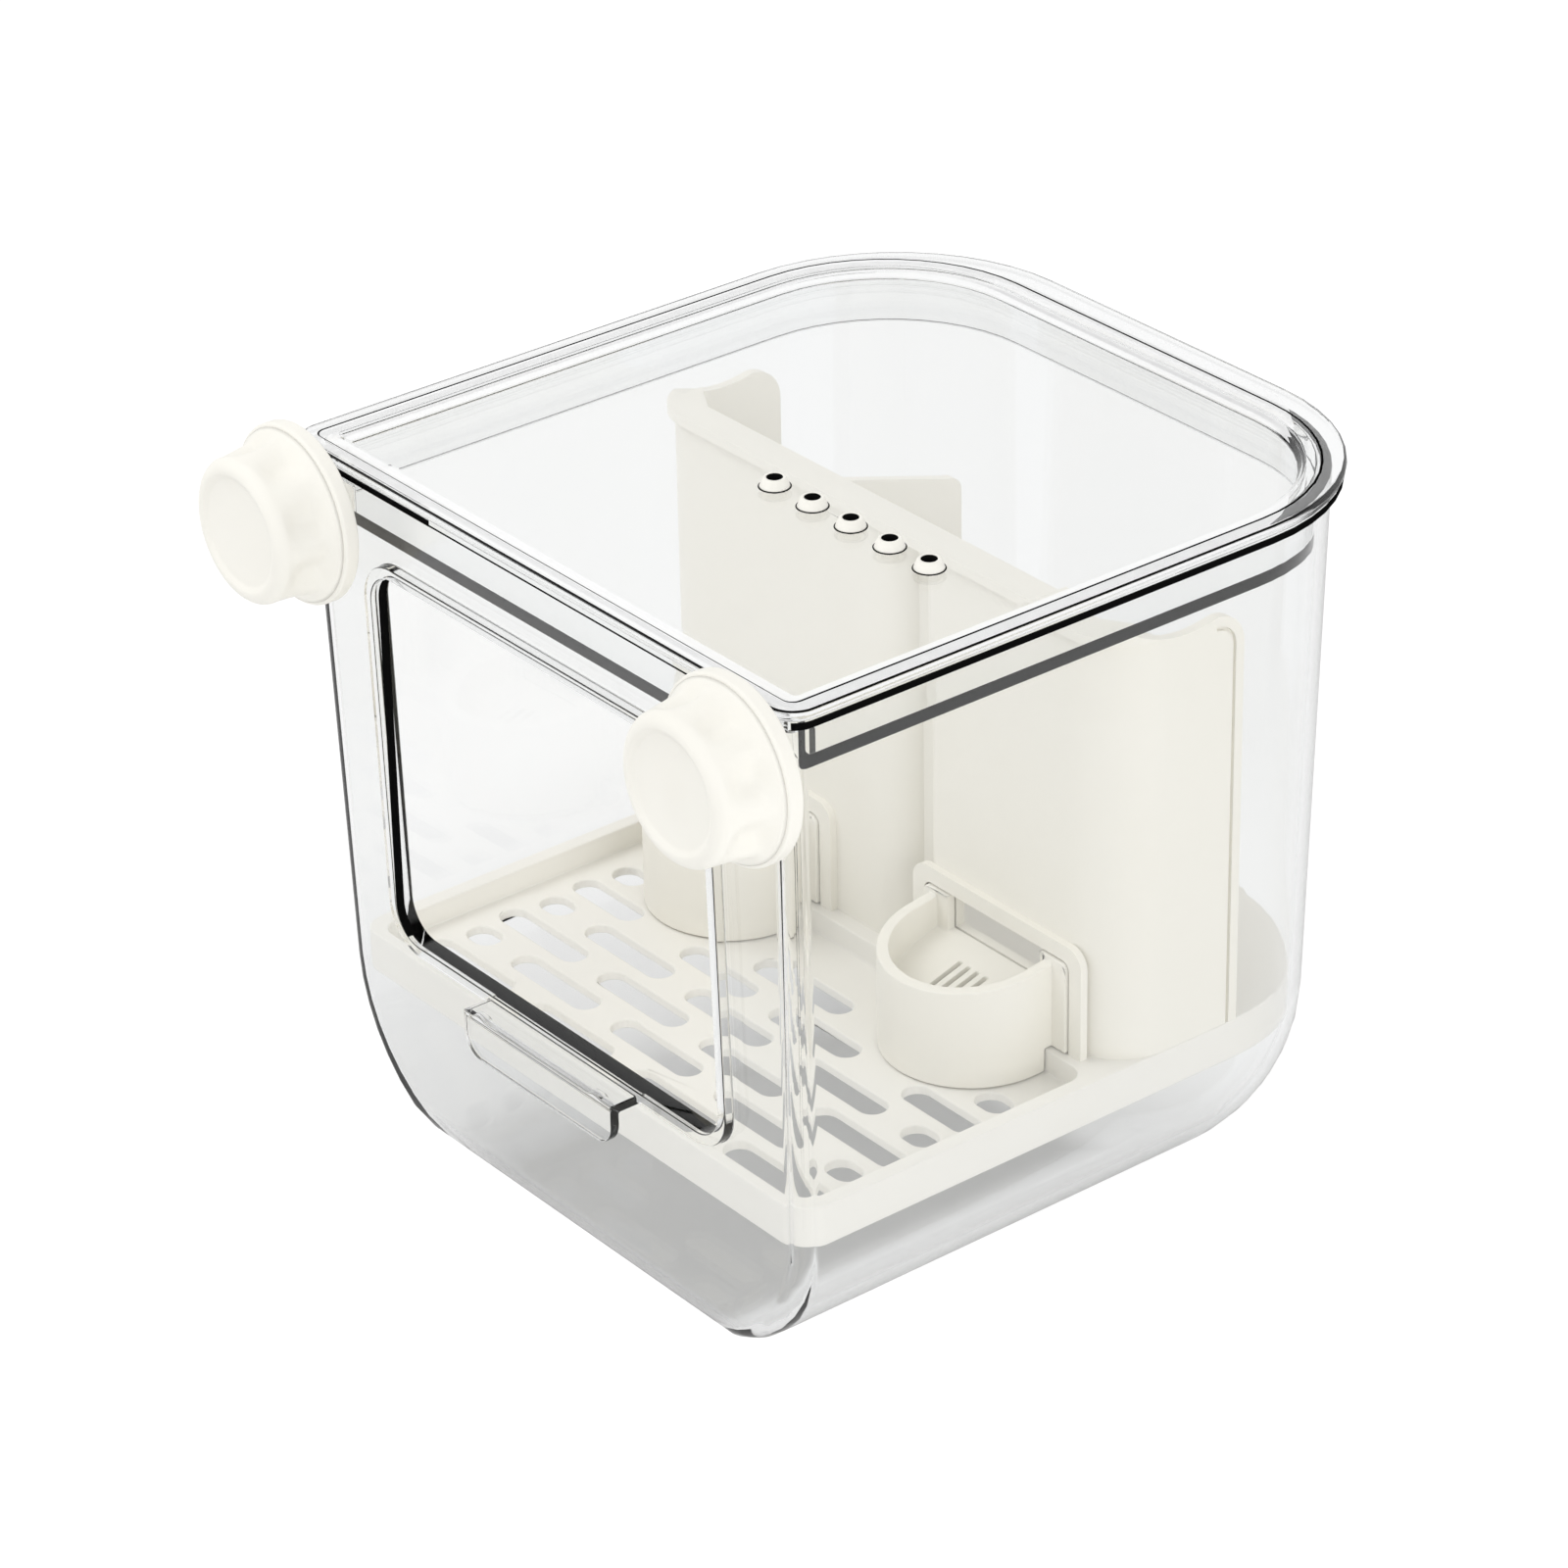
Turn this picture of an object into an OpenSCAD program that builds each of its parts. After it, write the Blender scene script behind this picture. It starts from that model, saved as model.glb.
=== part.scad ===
// Bird cage feeder: a clear tub that hangs on the outside of a cage door, with a
// lift-off lid, a perforated tray, a seed hopper with two cups, and two clamp nuts.
// Millimetres, +Z up, front opening towards -Y, origin on the base under the middle of the tub.

/* [Tub] */
// width over the tub's rim
tub_w = 147.4; // [120:1:200]
// depth over the tub's rim
tub_d = 151; // [120:1:200]
// height of the tub's rim above the table
tub_h = 145.9; // [130:1:180]
// thickness of the clear walls
wall = 2.2; // [1.8:0.1:3]
// lean of the side and rear walls, in degrees
side_draft = 1.1; // [0.5:0.1:2]
// lean of the front wall, in degrees
front_draft = 1.4; // [0.5:0.1:2]
// upright edges at the two rear corners
rear_corner_r = 38; // [20:1:45]
// upright edges at the two front corners
front_corner_r = 4.5; // [3:0.5:8]
// rounding between the base and the side and rear walls
base_edge_r = 35; // [20:1:38]
// rounding between the base and the front wall
base_front_r = 8; // [5:1:12]

/* [Front opening] */
// height of the lower edge of the opening
opening_low = 48.5; // [46:0.5:70]
// how far the upper edge of the opening lies below the rim
opening_drop = 16.8; // [14:0.1:45]
// width of the opening
opening_w = 101.2; // [70:0.1:104]
// rounding of the opening's corners
opening_r = 7; // [4:0.5:15]
// width of the raised collar round the opening
collar_w = 2.4; // [1.5:0.1:4]
// how far the collar stands out of the front wall
collar_out = 2; // [1:0.1:4]

/* [Hook tab] */
// width of the tab that hooks over the cage's sill
hook_w = 46.6; // [25:0.1:60]
// how far the tab is to the right of the middle
hook_x = 2.3; // [-10:0.1:10]
// how far the tab's shelf reaches forward
hook_reach = 8; // [5:0.5:14]
// how far the top of the shelf lies below the opening
hook_low = 1.1; // [0:0.1:6]
// height of the hanging flap
hook_drop = 9.5; // [7:0.5:16]
// thickness of the shelf and flap
hook_t = 2; // [1.5:0.1:3]
// rounding of the flap's lower corners
hook_r = 5; // [2:0.5:7]

/* [Lid] */
// how far the lid overhangs the tub at the sides
lid_over = 2.2; // [1:0.1:4]
// how far the lid overhangs the tub at the front
lid_over_front = 1.2; // [0.5:0.1:2.5]
// how far the lid overhangs the tub at the rear
lid_over_rear = 4; // [1:0.1:8]
// free space between the lid and the tub's rim
lid_gap = 0.3; // [0.2:0.05:0.6]
// thickness of the lid's plate
lid_t = 2.3; // [1.8:0.1:4]
// width of the raised border at the front and sides
border_w = 7.2; // [5:0.1:12]
// width of the raised border at the rear
border_w_rear = 10.6; // [5:0.1:16]
// rounding of the lid's edges
lid_edge_r = 0.9; // [0.4:0.1:1.1]
// how far the panel is sunk below the border
panel_drop = 2.2; // [1:0.1:4]
// depth of the skirt that hangs inside the tub
skirt_h = 11.4; // [6:0.1:16]
// thickness of the skirt
skirt_t = 1.8; // [1.2:0.1:3]
// free space between the skirt and the tub's wall
skirt_gap = 0.5; // [0.3:0.05:1]
// distance between two vent holes
vent_pitch = 11.2; // [8:0.1:16]
// how far the row of vents is to the right of the middle
vent_x = 22; // [-25:1:25]
// how far the row of vents is behind the lid's front edge
vent_y = 58; // [30:1:90]
// radius of a vent hole
vent_r = 1.6; // [1:0.1:2.5]
// height of the small cone round a vent hole
vent_h = 1.9; // [1:0.1:4]
// wall of the cone at its foot
vent_foot = 1.3; // [0.8:0.1:2.5]
// wall of the cone at its top
vent_lip = 0.6; // [0.4:0.1:1.5]

/* [Tray] */
// height of the tray's rim above the table
tray_top = 41.5; // [38:0.5:44]
// height of the tray's outer band
tray_band_h = 8.7; // [6:0.1:12]
// how far the perforated floor lies below the rim
tray_sink = 5; // [2:0.1:5.5]
// thickness of the perforated floor
tray_floor_t = 2; // [1.5:0.1:3]
// free space between the tray and the tub's wall
tray_gap = 0.15; // [0.1:0.05:0.5]
// rounding of the tray's front corners
tray_corner_r = 5; // [3:0.5:8]
// how far the tray's raised rear part reaches in front of the bays
raised_out = 3.6; // [3:0.1:6]
// rounding of the corners of the sunk floor
sink_r = 4; // [2:0.5:8]
// width of the rim at the sides
tray_rim_w = 3.4; // [2:0.1:6]
// width of the rim at the front
tray_front_w = 2.6; // [2:0.1:6]
// length of a slot in the floor
slot_l = 25.3; // [14:0.1:26]
// width of a slot in the floor
slot_w = 6; // [3:0.1:6.5]
// distance between two slots in a row
slot_pitch = 32.4; // [28:0.1:40]
// length of the short slots that close every second row
end_slot_l = 7.9; // [7:0.1:10]
// distance from the front of the floor to the middle of the first row
first_row = 7.8; // [5:0.1:12]
// distance between two rows of slots
row_pitch = 9.15; // [8.5:0.05:12]
// how far the closed floor in front of a cup reaches from the cup's middle to the inside
closed_in = 10.3; // [6:0.1:16]
// how far the closed floor in front of a cup reaches from the cup's middle to the outside
closed_to_side = 5.2; // [2:0.1:12]
// how far the closed floor reaches in front of a cup
closed_out = 6; // [3:0.5:8]

/* [Hopper] */
// how far the top of the hopper lies below the tub's rim
hopper_drop = 13.5; // [13:0.5:40]
// distance from the rear of the tub to the front of the bays
bay_rear = 71.6; // [60:0.1:80]
// thickness of the hopper's walls
hopper_t = 2; // [1.6:0.1:3]
// rounding between a bay and its side wing
bay_r = 13; // [8:1:18]
// length of the side wings, behind the front of the bays
wing_l = 31.8; // [22:0.1:45]
// rounding of the top rear corner of a wing
wing_r = 7; // [3:0.5:12]
// how far a wing's top falls towards its rear
wing_fall = 2.2; // [0:0.1:8]
// how far a wing's top sags between the ledge and its rear
wing_dip = 1.7; // [0:0.1:3]
// distance from a wing's rear edge to the groove on its outer face
bead_in = 2; // [1.5:0.1:4]
// width and depth of the groove on a wing's outer face
bead_w = 0.8; // [0.5:0.1:1]
// width of the ledge along the top
ledge_w = 7; // [5:0.1:10]
// thickness of the ledge along the top
ledge_t = 2; // [1.5:0.1:4]
// how far the ledge stands in front of the bays
ledge_out = 1.4; // [0.5:0.1:3]
// how far the step between the bays is to the right of the middle
step_x = 15.5; // [8:0.5:20]
// how far the start of the left bay's round end is to the left of the middle
round_x = 2; // [-2:0.5:8]
// rounding at the right end of the left bay
step_r = 14; // [8:1:18]
// rounding at the left end of the right bay
side_r = 2.5; // [1:0.1:4]
// depth of the groove between the two bays, under the ledge
step_depth = 4.8; // [3:0.1:5]
// how far the seed divider is to the left of the middle
divider_x = 14; // [12:1:25]
// length of the divider, behind the front of the bays
divider_l = 33.7; // [22:0.1:45]
// how far the divider's top falls towards its rear
divider_fall = 7.6; // [2:0.1:12]
// rounding of the divider's top rear corner
divider_r = 3.2; // [1:0.1:8]
// free space between the wings and the tub's walls
hopper_gap = 0.4; // [0.3:0.05:1]

/* [Cups] */
// distance from the tub's side to the middle of a cup's frame
cup_side = 36.4; // [35.7:0.1:43.7]
// how far a cup stands beside the middle of its frame, towards the middle of the tub
cup_shift = 1; // [0:0.1:1.5]
// outer radius of a cup's front
cup_r = 18; // [13:0.1:18.5]
// height of a cup's rim at its front above the tray's floor
cup_h = 20.6; // [16:0.1:26]
// how far the rim rises from the front to the flange
rim_rise = 2.9; // [0:0.1:4]
// thickness of a cup's wall
cup_t = 2.4; // [1.4:0.1:3]
// straight length of a cup in front of its flange
cup_straight = 4.9; // [2:0.1:12]
// how far the flange stands out on the narrow side of a cup
flange_out = 1.8; // [1.5:0.1:3]
// thickness of the flange in the frame
flange_t = 1.8; // [1:0.1:3]
// how far the flange rises above a cup's rim
flange_rise = 1.2; // [0.5:0.1:4]
// free space between a cup and the tray
cup_gap = 0.3; // [0.2:0.05:0.6]
// height of the seed floor at its back above the tray's floor
seed_high = 17.4; // [10:0.1:18]
// height of the seed floor at its front above the tray's floor
seed_low = 10.6; // [5:0.1:14]
// width of a sieve slit in the seed floor
slit_w = 1.1; // [0.8:0.1:2]
// distance between two sieve slits
slit_pitch = 2.5; // [2:0.1:5]
// length of a sieve slit
slit_l = 11; // [6:0.5:18]
// distance from the slits to the cup's flange
slit_back = 4; // [2:0.5:8]
// number of sieve slits in a cup
slits = 4; // [2:1:6]

/* [Cup frames] */
// width of a frame's border
frame_w = 3.4; // [2.5:0.1:6]
// how far a frame stands out of the bay
frame_out = 1.6; // [1:0.1:4]
// rounding of a frame's outer corners
frame_r = 4; // [1:0.1:6]
// rounding of a frame's inner corners
seat_r = 2; // [1:0.1:3]
// free space round the cup's flange in its frame
flange_gap = 0.4; // [0.3:0.05:1]
// width of the seed window
window_w = 27; // [16:0.5:29]

/* [Clamp] */
// distance from the tub's side to a stud
stud_side = 7.4; // [5.7:0.1:13.7]
// how far the studs lie below the tub's rim
stud_drop = 9.3; // [7.5:0.1:10.5]
// radius of a stud
stud_r = 2.5; // [2:0.1:3]
// radius of a stud's head inside the tub
stud_head_r = 4.4; // [3.6:0.1:4.8]
// thickness of a stud's head
stud_head_t = 2.4; // [1.5:0.1:4]
// length of a stud inside its nut
stud_in_nut = 6.2; // [5:0.1:6.5]
// least thickness of the pad under a stud's head
pad_t = 0.6; // [0.4:0.1:1.5]
// how far the pad reaches past the stud's head
pad_over = 0.5; // [0.3:0.1:1]
// free space between a stud and its hole in the front wall
stud_gap = 0.25; // [0.1:0.05:0.6]
// free space between a stud and what runs on it
run_gap = 0.06; // [0.02:0.01:0.1]
// radius of the clamp plate
plate_r = 18.1; // [14:0.1:22]
// thickness of the clamp plate
plate_t = 3.4; // [2:0.1:6]
// gap for the cage wires between the front wall and the clamp plate
wire_gap = 4.6; // [4:0.1:8]
// gap between the clamp plate and the nut
nut_gap = 0.3; // [0.2:0.05:0.6]
// length of the nut
nut_l = 12; // [8:0.1:20]
// radius of the nut at its back
nut_back_r = 15.6; // [11:0.1:18]
// radius of the nut at its front
nut_front_r = 14.7; // [11:0.1:18]
// rounding of the clamp plate's rim
plate_edge_r = 0.8; // [0.4:0.1:1]
// rounding round the nut's front edge
nut_edge_r = 2.6; // [1:0.1:4]
// thickness of the nut's closed front, over the stud's hole
nut_cap_t = 2.8; // [2:0.1:4]
// number of hollows round the nut
nut_flutes = 8; // [6:1:14]
// depth of the hollows round the nut
flute_depth = 0.8; // [0.5:0.1:3]
// radius of a hollow round the nut
flute_r = 5.2; // [3:0.1:8]
// radius of the shallow dish in the nut's face
dish_r = 11; // [6:0.1:13]
// depth of the shallow dish in the nut's face
dish_depth = 0.7; // [0.3:0.1:2]

/* [Hidden] */
$fn = 48;
clear_col = [0.85, 0.9, 0.93, 0.4];
cream_col = [0.93, 0.91, 0.85];
white_col = [0.95, 0.94, 0.91];
// small overlap that keeps cuts and joined forms from sharing a face
eps = 0.05;
front_y = -tub_d / 2;
// flats in a rounded corner of a plan
corner_steps = 12;
// the studs and the cups keep their places beside the tub's sides
stud_x = tub_w / 2 - stud_side;
cup_x = tub_w / 2 - cup_side;

// how far a wall has curled inwards at a height above the start of its rounding
function roll(h, r) = h >= r ? 0 : r - sqrt(max(0, r * r - (r - h) * (r - h)));

// how far the drafted walls have come in at height z
function side_lean(z) = tan(side_draft) * (tub_h - z);
function front_lean(z) = tan(front_draft) * (tub_h - z);

// limits of the tub's plan at height z, for a skin that lies t inside the outer one
function side_x(z, t) = tub_w / 2 - t - side_lean(z) - roll(z - min(t, wall), base_edge_r - t);
function rear_y(z, t) = tub_d / 2 - t - side_lean(z) - roll(z - min(t, wall), base_edge_r - t);
function front_y_at(z, t) = front_y + t + front_lean(z) + roll(z - min(t, wall), base_front_r - t);
function rear_r(z, t) = max(3, rear_corner_r - t - roll(z - min(t, wall), base_edge_r - t));
function front_r(t) = max(0.8, front_corner_r - t);

function arc(cx, cy, r, from, turn) =
    [for (i = [0 : corner_steps]) [cx + r * cos(from + turn * i / corner_steps),
        cy + r * sin(from + turn * i / corner_steps)]];

// plan with two small front corners and two large rear corners
function plan(hw, yf, yr, rf, rr) = concat(
    arc(-hw + rf, yf + rf, rf, 180, 90),
    arc(hw - rf, yf + rf, rf, 270, 90),
    arc(hw - rr, yr - rr, rr, 0, 90),
    arc(-hw + rr, yr - rr, rr, 90, 90));

function tub_plan(z, t) = plan(side_x(z, t), front_y_at(z, t), rear_y(z, t), front_r(t), rear_r(z, t));

function at_height(points, z) = [for (p = points) [p[0], p[1], z]];

// solid through a list of plans with equal point counts
module loft(rings) {
    n = len(rings[0]);
    last = len(rings) - 1;
    sides = [for (k = [0 : last - 1], i = [0 : n - 1])
        [k * n + i, k * n + (i + 1) % n, (k + 1) * n + (i + 1) % n, (k + 1) * n + i]];
    polyhedron([for (ring = rings) each ring],
        concat([[for (i = [n - 1 : -1 : 0]) i]], [for (s = sides) [s[3], s[2], s[1], s[0]]],
            [[for (i = [0 : n - 1]) last * n + i]]), convexity = 6);
}

// the tub's outer form (t = 0) or its hollow (t = wall)
module tub_form(t, top) {
    r = base_edge_r - t;
    curl = [for (a = [0 : 9 : 90]) min(t, wall) + r * (1 - cos(a))];
    loft(concat([for (z = curl) at_height(tub_plan(z, t), z)], [at_height(tub_plan(top, t), top)]));
}

// flat plate with four rounded corners, drawn from circles and squares
module rounded_plate(w, h, r) {
    square([w - 2 * r, h], center = true);
    square([w, h - 2 * r], center = true);
    for (sx = [-1, 1], sy = [-1, 1])
        translate([sx * (w / 2 - r), sy * (h / 2 - r)])
            circle(r);
}

// puts flat work on the leaning front wall, outward along its own axis
module on_front(z) {
    translate([0, front_y + front_lean(z), z])
        rotate([90 + front_draft, 0, 0])
            children();
}

opening_high = tub_h - opening_drop;
opening_mid = (opening_low + opening_high) / 2;
opening_h = opening_high - opening_low;

stud_z = tub_h - stud_drop;
// the stud's head sits on a flat pad that clears the rounded inner corner
corner_in = stud_x + stud_head_r - side_x(stud_z, wall) + front_r(wall);
corner_depth = corner_in <= 0 ? 0 : front_r(wall) - sqrt(max(0, pow(front_r(wall), 2) - pow(corner_in, 2)));
seat_y = front_y_at(stud_z - stud_head_r, wall) + pad_t + corner_depth;

module stud_line(x, y) {
    translate([x, y, stud_z])
        rotate([90, 0, 0])
            children();
}

module hook_tab() {
    shelf_z = opening_low - hook_low - hook_t;
    wall_y = front_y + front_lean(shelf_z);
    flap_y = wall_y - hook_reach;
    translate([hook_x - hook_w / 2, flap_y, shelf_z])
        cube([hook_w, hook_reach + wall / 2, hook_t]);
    translate([hook_x, flap_y + hook_t, shelf_z + hook_t])
        rotate([90, 0, 0])
            linear_extrude(hook_t)
                hook_flap();
}

module hook_flap() {
    translate([-hook_w / 2, -hook_drop + hook_r])
        square([hook_w, hook_drop - hook_r]);
    translate([-hook_w / 2 + hook_r, -hook_drop])
        square([hook_w - 2 * hook_r, hook_r + eps]);
    for (sx = [-1, 1])
        translate([sx * (hook_w / 2 - hook_r), -hook_drop + hook_r])
            circle(hook_r);
}

module tub() {
    color(clear_col)
        difference() {
            union() {
                tub_form(0, tub_h);
                on_front(opening_mid)
                    translate([0, 0, -wall / 2])
                        linear_extrude(collar_out + wall / 2)
                            rounded_plate(opening_w + 2 * collar_w, opening_h + 2 * collar_w,
                                opening_r + collar_w);
                hook_tab();
            }
            difference() {
                tub_form(wall, tub_h + 1);
                for (sx = [-1, 1])
                    stud_line(sx * stud_x, seat_y)
                        cylinder(r = stud_head_r + pad_over, h = 3 * wall);
            }
            on_front(opening_mid)
                translate([0, 0, -4 * wall])
                    linear_extrude(collar_out + 5 * wall)
                        rounded_plate(opening_w, opening_h, opening_r);
            for (sx = [-1, 1])
                stud_line(sx * stud_x, seat_y + 1)
                    cylinder(r = stud_r + stud_gap, h = seat_y - front_y + 3);
        }
}

// lid: plan of its plate, drawn in from the edge by d, and from the rear edge by dr
function lid_plan(d, dr) = plan(tub_w / 2 + lid_over - d, front_y - lid_over_front + d,
    tub_d / 2 + lid_over_rear - dr, max(1, front_corner_r + lid_over_front - d),
    rear_corner_r + lid_over_rear - dr);
lid_low = tub_h + lid_gap;
lid_top = lid_low + lid_t;
panel_top = lid_top - panel_drop;
skirt_low = lid_low - skirt_h;
// the skirt's outer face keeps its free space inside the tub's wall
function skirt_plan(t) = plan(side_x(skirt_low, wall) - skirt_gap - t,
    front_y_at(skirt_low, wall) + skirt_gap + t, rear_y(skirt_low, wall) - skirt_gap - t,
    max(0.6, front_corner_r - wall - skirt_gap - t), rear_corner_r - wall - skirt_gap - t);
// half width and depth of the skirt's cut-outs round the studs
notch_w = stud_head_r + 2.5;
notch_y = seat_y + stud_head_t + 1.5;

// plate with its upper and lower edges rounded
module lid_plate() {
    r = lid_edge_r;
    steps = [0, 30, 60, 90];
    loft(concat(
        [for (a = steps)
            at_height(lid_plan(r * (1 - sin(a)), r * (1 - sin(a))), lid_low + r * (1 - cos(a)))],
        [for (a = steps)
            at_height(lid_plan(r * (1 - cos(a)), r * (1 - cos(a))), lid_top - r * (1 - sin(a)))]));
}

// the sunk panel's hollow, with a rounded upper edge
module panel_hollow() {
    r = lid_edge_r;
    loft(concat(
        [at_height(lid_plan(border_w + r, border_w_rear + r), panel_top)],
        [for (a = [90, 60, 30, 0]) at_height(lid_plan(border_w + r * (1 - cos(a)) - r * 0.6,
            border_w_rear + r * (1 - cos(a)) - r * 0.6), lid_top - r * sin(a) + eps)],
        [at_height(lid_plan(border_w - r * 0.6, border_w_rear - r * 0.6), lid_top + 1)]));
}

module vents() {
    for (i = [-2 : 2])
        translate([vent_x + i * vent_pitch, front_y - lid_over_front + vent_y, panel_top])
            children();
}

module lid() {
    color(clear_col)
        difference() {
            union() {
                difference() {
                    lid_plate();
                    panel_hollow();
                }
                translate([0, 0, panel_top - lid_t])
                    linear_extrude(lid_t)
                        polygon(skirt_plan(0));
                difference() {
                    translate([0, 0, skirt_low])
                        linear_extrude(skirt_h + eps)
                            polygon(skirt_plan(0));
                    translate([0, 0, skirt_low - 1])
                        linear_extrude(skirt_h + 1)
                            polygon(skirt_plan(skirt_t));
                    for (sx = [-1, 1])
                        translate([sx * stud_x - notch_w, front_y, skirt_low - 1])
                            cube([2 * notch_w, notch_y - front_y, stud_z + stud_head_r + 2 - skirt_low]);
                }
                vents()
                    cylinder(r1 = vent_r + vent_foot, r2 = vent_r + vent_lip, h = vent_h);
            }
            vents()
                translate([0, 0, -2 * lid_t])
                    cylinder(r = vent_r, h = 3 * lid_t + vent_h);
        }
}

tray_foot = tray_top - tray_band_h;
tray_floor = tray_top - tray_sink;
// the tray stands where the tub's wall has narrowed to its own outline
function tray_plan(t) = plan(tray_half - t, tray_front + t, rear_y(tray_foot, wall) - tray_gap - t,
    tray_corner_r, rear_r(tray_foot, wall) - tray_gap - t);
// front of the bays, and the tray's step up in front of them
face_y = tub_d / 2 - bay_rear;
step_y = face_y - raised_out;
tray_half = side_x(tray_foot, wall) - tray_gap;
tray_front = front_y_at(tray_foot, wall) + tray_gap;

// outline of the sunk floor
module sink_outline(grow) {
    yf = tray_front + tray_front_w - grow;
    w = 2 * (tray_half - tray_rim_w + grow);
    translate([0, (yf + step_y + grow) / 2])
        rounded_plate(w, step_y + grow - yf, sink_r + grow);
}

// slot from x = a to b, left out where it would be too short
module slot(a, b) {
    if (b - a > slot_w) {
        translate([(a + b) / 2, 0])
            square([b - a - slot_w, slot_w], center = true);
        for (x = [a + slot_w / 2, b - slot_w / 2])
            translate([x, 0])
                circle(slot_w / 2, $fn = 24);
    }
}

row_y = tray_front + tray_front_w + first_row;
slot_rows = floor((step_y - row_y) / row_pitch);

// right half of a row: full slots, kept out of the closed stretch, and a short one in every second row
module half_row(shift, closed) {
    span = tray_half - tray_rim_w - slot_w / 2;
    full = floor((span - shift - slot_l / 2) / slot_pitch);
    for (k = [0 : full]) {
        low = k * slot_pitch + shift - slot_l / 2;
        slot(low, min(low + slot_l, closed[0]));
        slot(max(low, closed[1]), low + slot_l);
    }
    end_low = (full + 1) * slot_pitch - slot_l / 2;
    if (shift == 0 && end_low + end_slot_l < span)
        slot(end_low, end_low + end_slot_l);
}

// brick pattern; the floor stays closed under each cup and right in front of it
module slot_pattern() {
    cup_front = cup_y - cup_r;
    cup_mid = cup_x - cup_shift;
    for (row = [0 : slot_rows - 1]) {
        y = row_y + row * row_pitch;
        closed = y > cup_front ? [cup_mid - cup_r, cup_mid + cup_r]
            : y > cup_front - closed_out ? [cup_mid - closed_in, cup_mid + closed_to_side] : [tub_w, tub_w];
        translate([0, y])
            for (side = [0, 1])
                mirror([side, 0])
                    half_row(row % 2 == 0 ? slot_pitch / 2 : 0, closed);
    }
}

module tray() {
    color(cream_col)
        difference() {
            translate([0, 0, tray_foot])
                linear_extrude(tray_band_h)
                    polygon(tray_plan(0));
            translate([0, 0, tray_floor])
                linear_extrude(tray_sink + 1)
                    sink_outline(0);
            translate([0, 0, tray_foot - 1])
                linear_extrude(tray_floor - tray_floor_t - tray_foot + 1)
                    polygon(tray_plan(tray_front_w));
            translate([0, 0, tray_foot])
                linear_extrude(tray_band_h)
                    slot_pattern();
        }
}

hopper_top = tub_h - hopper_drop;
hopper_half = side_x(tray_top, wall) - hopper_gap;
wing_end = face_y + wing_l;
flange_half = cup_r + cup_shift + flange_out;
seat_half = flange_half + flange_gap;
flange_top = tray_floor + cup_h + rim_rise + flange_rise;
seat_top = flange_top + flange_gap;
window_low = tray_floor + seed_high;
// the groove between the bays ends against the right bay's side
groove_y = face_y + step_depth;
function round_turn(t) = acos((step_r - step_depth - t) / (step_r - t));

// front line of the bays, moved behind itself by t
function bay_line(t) = concat(
    [[-hopper_half + t, wing_end + t]],
    arc(-hopper_half + bay_r, face_y + bay_r, bay_r - t, 180, 90),
    arc(-round_x, face_y + step_r, step_r - t, 270, round_turn(t)),
    [[step_x + t, groove_y + t]],
    arc(step_x + side_r, face_y + side_r, side_r - t, 180, 90),
    arc(hopper_half - bay_r, face_y + bay_r, bay_r - t, 270, 90),
    [[hopper_half - t, wing_end + t]]);

// walls seen from above: one skin, and the divider behind the left bay
module hopper_plan() {
    difference() {
        polygon(bay_line(0));
        polygon(bay_line(hopper_t));
    }
    translate([-divider_x - hopper_t / 2, face_y + hopper_t / 2])
        square([hopper_t, divider_l - hopper_t / 2]);
}

// side outline of a wing or the divider: its top falls by drop and sags by dip on the way
module wing_side(l, drop, dip, r) {
    h = hopper_top - tray_top;
    start = ledge_w - ledge_out;
    polygon(concat([[0, 0], [l, 0]],
        [for (a = [0 : 7.5 : 90]) [l - r + r * cos(a), h - drop - r + r * sin(a)]],
        [for (u = [0.9 : -0.1 : 0.1]) [start + u * (l - r - start), h - u * drop - dip * sin(180 * u)]],
        [[start, h], [0, h]]));
}

// what a wing or the divider between x0 and x1 loses at its top and rear
module wing_cut(x0, x1, l, drop, dip, r) {
    translate([x0, face_y, tray_top])
        rotate([90, 0, 90])
            linear_extrude(x1 - x0)
                difference() {
                    translate([ledge_w - ledge_out, 0])
                        square([l + 2, hopper_top - tray_top + 1]);
                    wing_side(l, drop, dip, r);
                }
}

// groove along the rear edge of a wing's outer face, cut from x0 to x1
module wing_groove(x0, x1) {
    h = hopper_top - tray_top - wing_fall - wing_r;
    translate([x0, wing_end - wing_r, tray_top])
        rotate([90, 0, 90])
            linear_extrude(x1 - x0) {
                translate([wing_r - bead_in - bead_w, -1])
                    square([bead_w, h + 1 + eps]);
                translate([0, h])
                    intersection() {
                        difference() {
                            circle(wing_r - bead_in);
                            circle(wing_r - bead_in - bead_w);
                        }
                        square(wing_r);
                    }
            }
}

module hopper() {
    color(cream_col)
        difference() {
            union() {
                translate([0, 0, tray_top])
                    linear_extrude(hopper_top - tray_top)
                        hopper_plan();
                ledge();
                for (sx = [-1, 1])
                    frame_block(sx * cup_x);
            }
            for (sx = [-1, 1])
                wing_cut(sx * hopper_half - 2 * hopper_t, sx * hopper_half + 2 * hopper_t, wing_l, wing_fall,
                    wing_dip, wing_r);
            wing_cut(-divider_x - 2 * hopper_t, -divider_x + 2 * hopper_t, divider_l, divider_fall, 0,
                divider_r);
            wing_groove(-hopper_half - 1, -hopper_half + bead_w);
            wing_groove(hopper_half - bead_w, hopper_half + 1);
            // behind the ledge the groove between the bays ends at the ledge's underside
            translate([-round_x, face_y - ledge_out + ledge_w, hopper_top - ledge_t])
                cube([step_x + hopper_t + 1 + round_x, step_r, ledge_t + 1]);
            for (sx = [-1, 1])
                cup_seat(sx * cup_x);
        }
}

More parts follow.
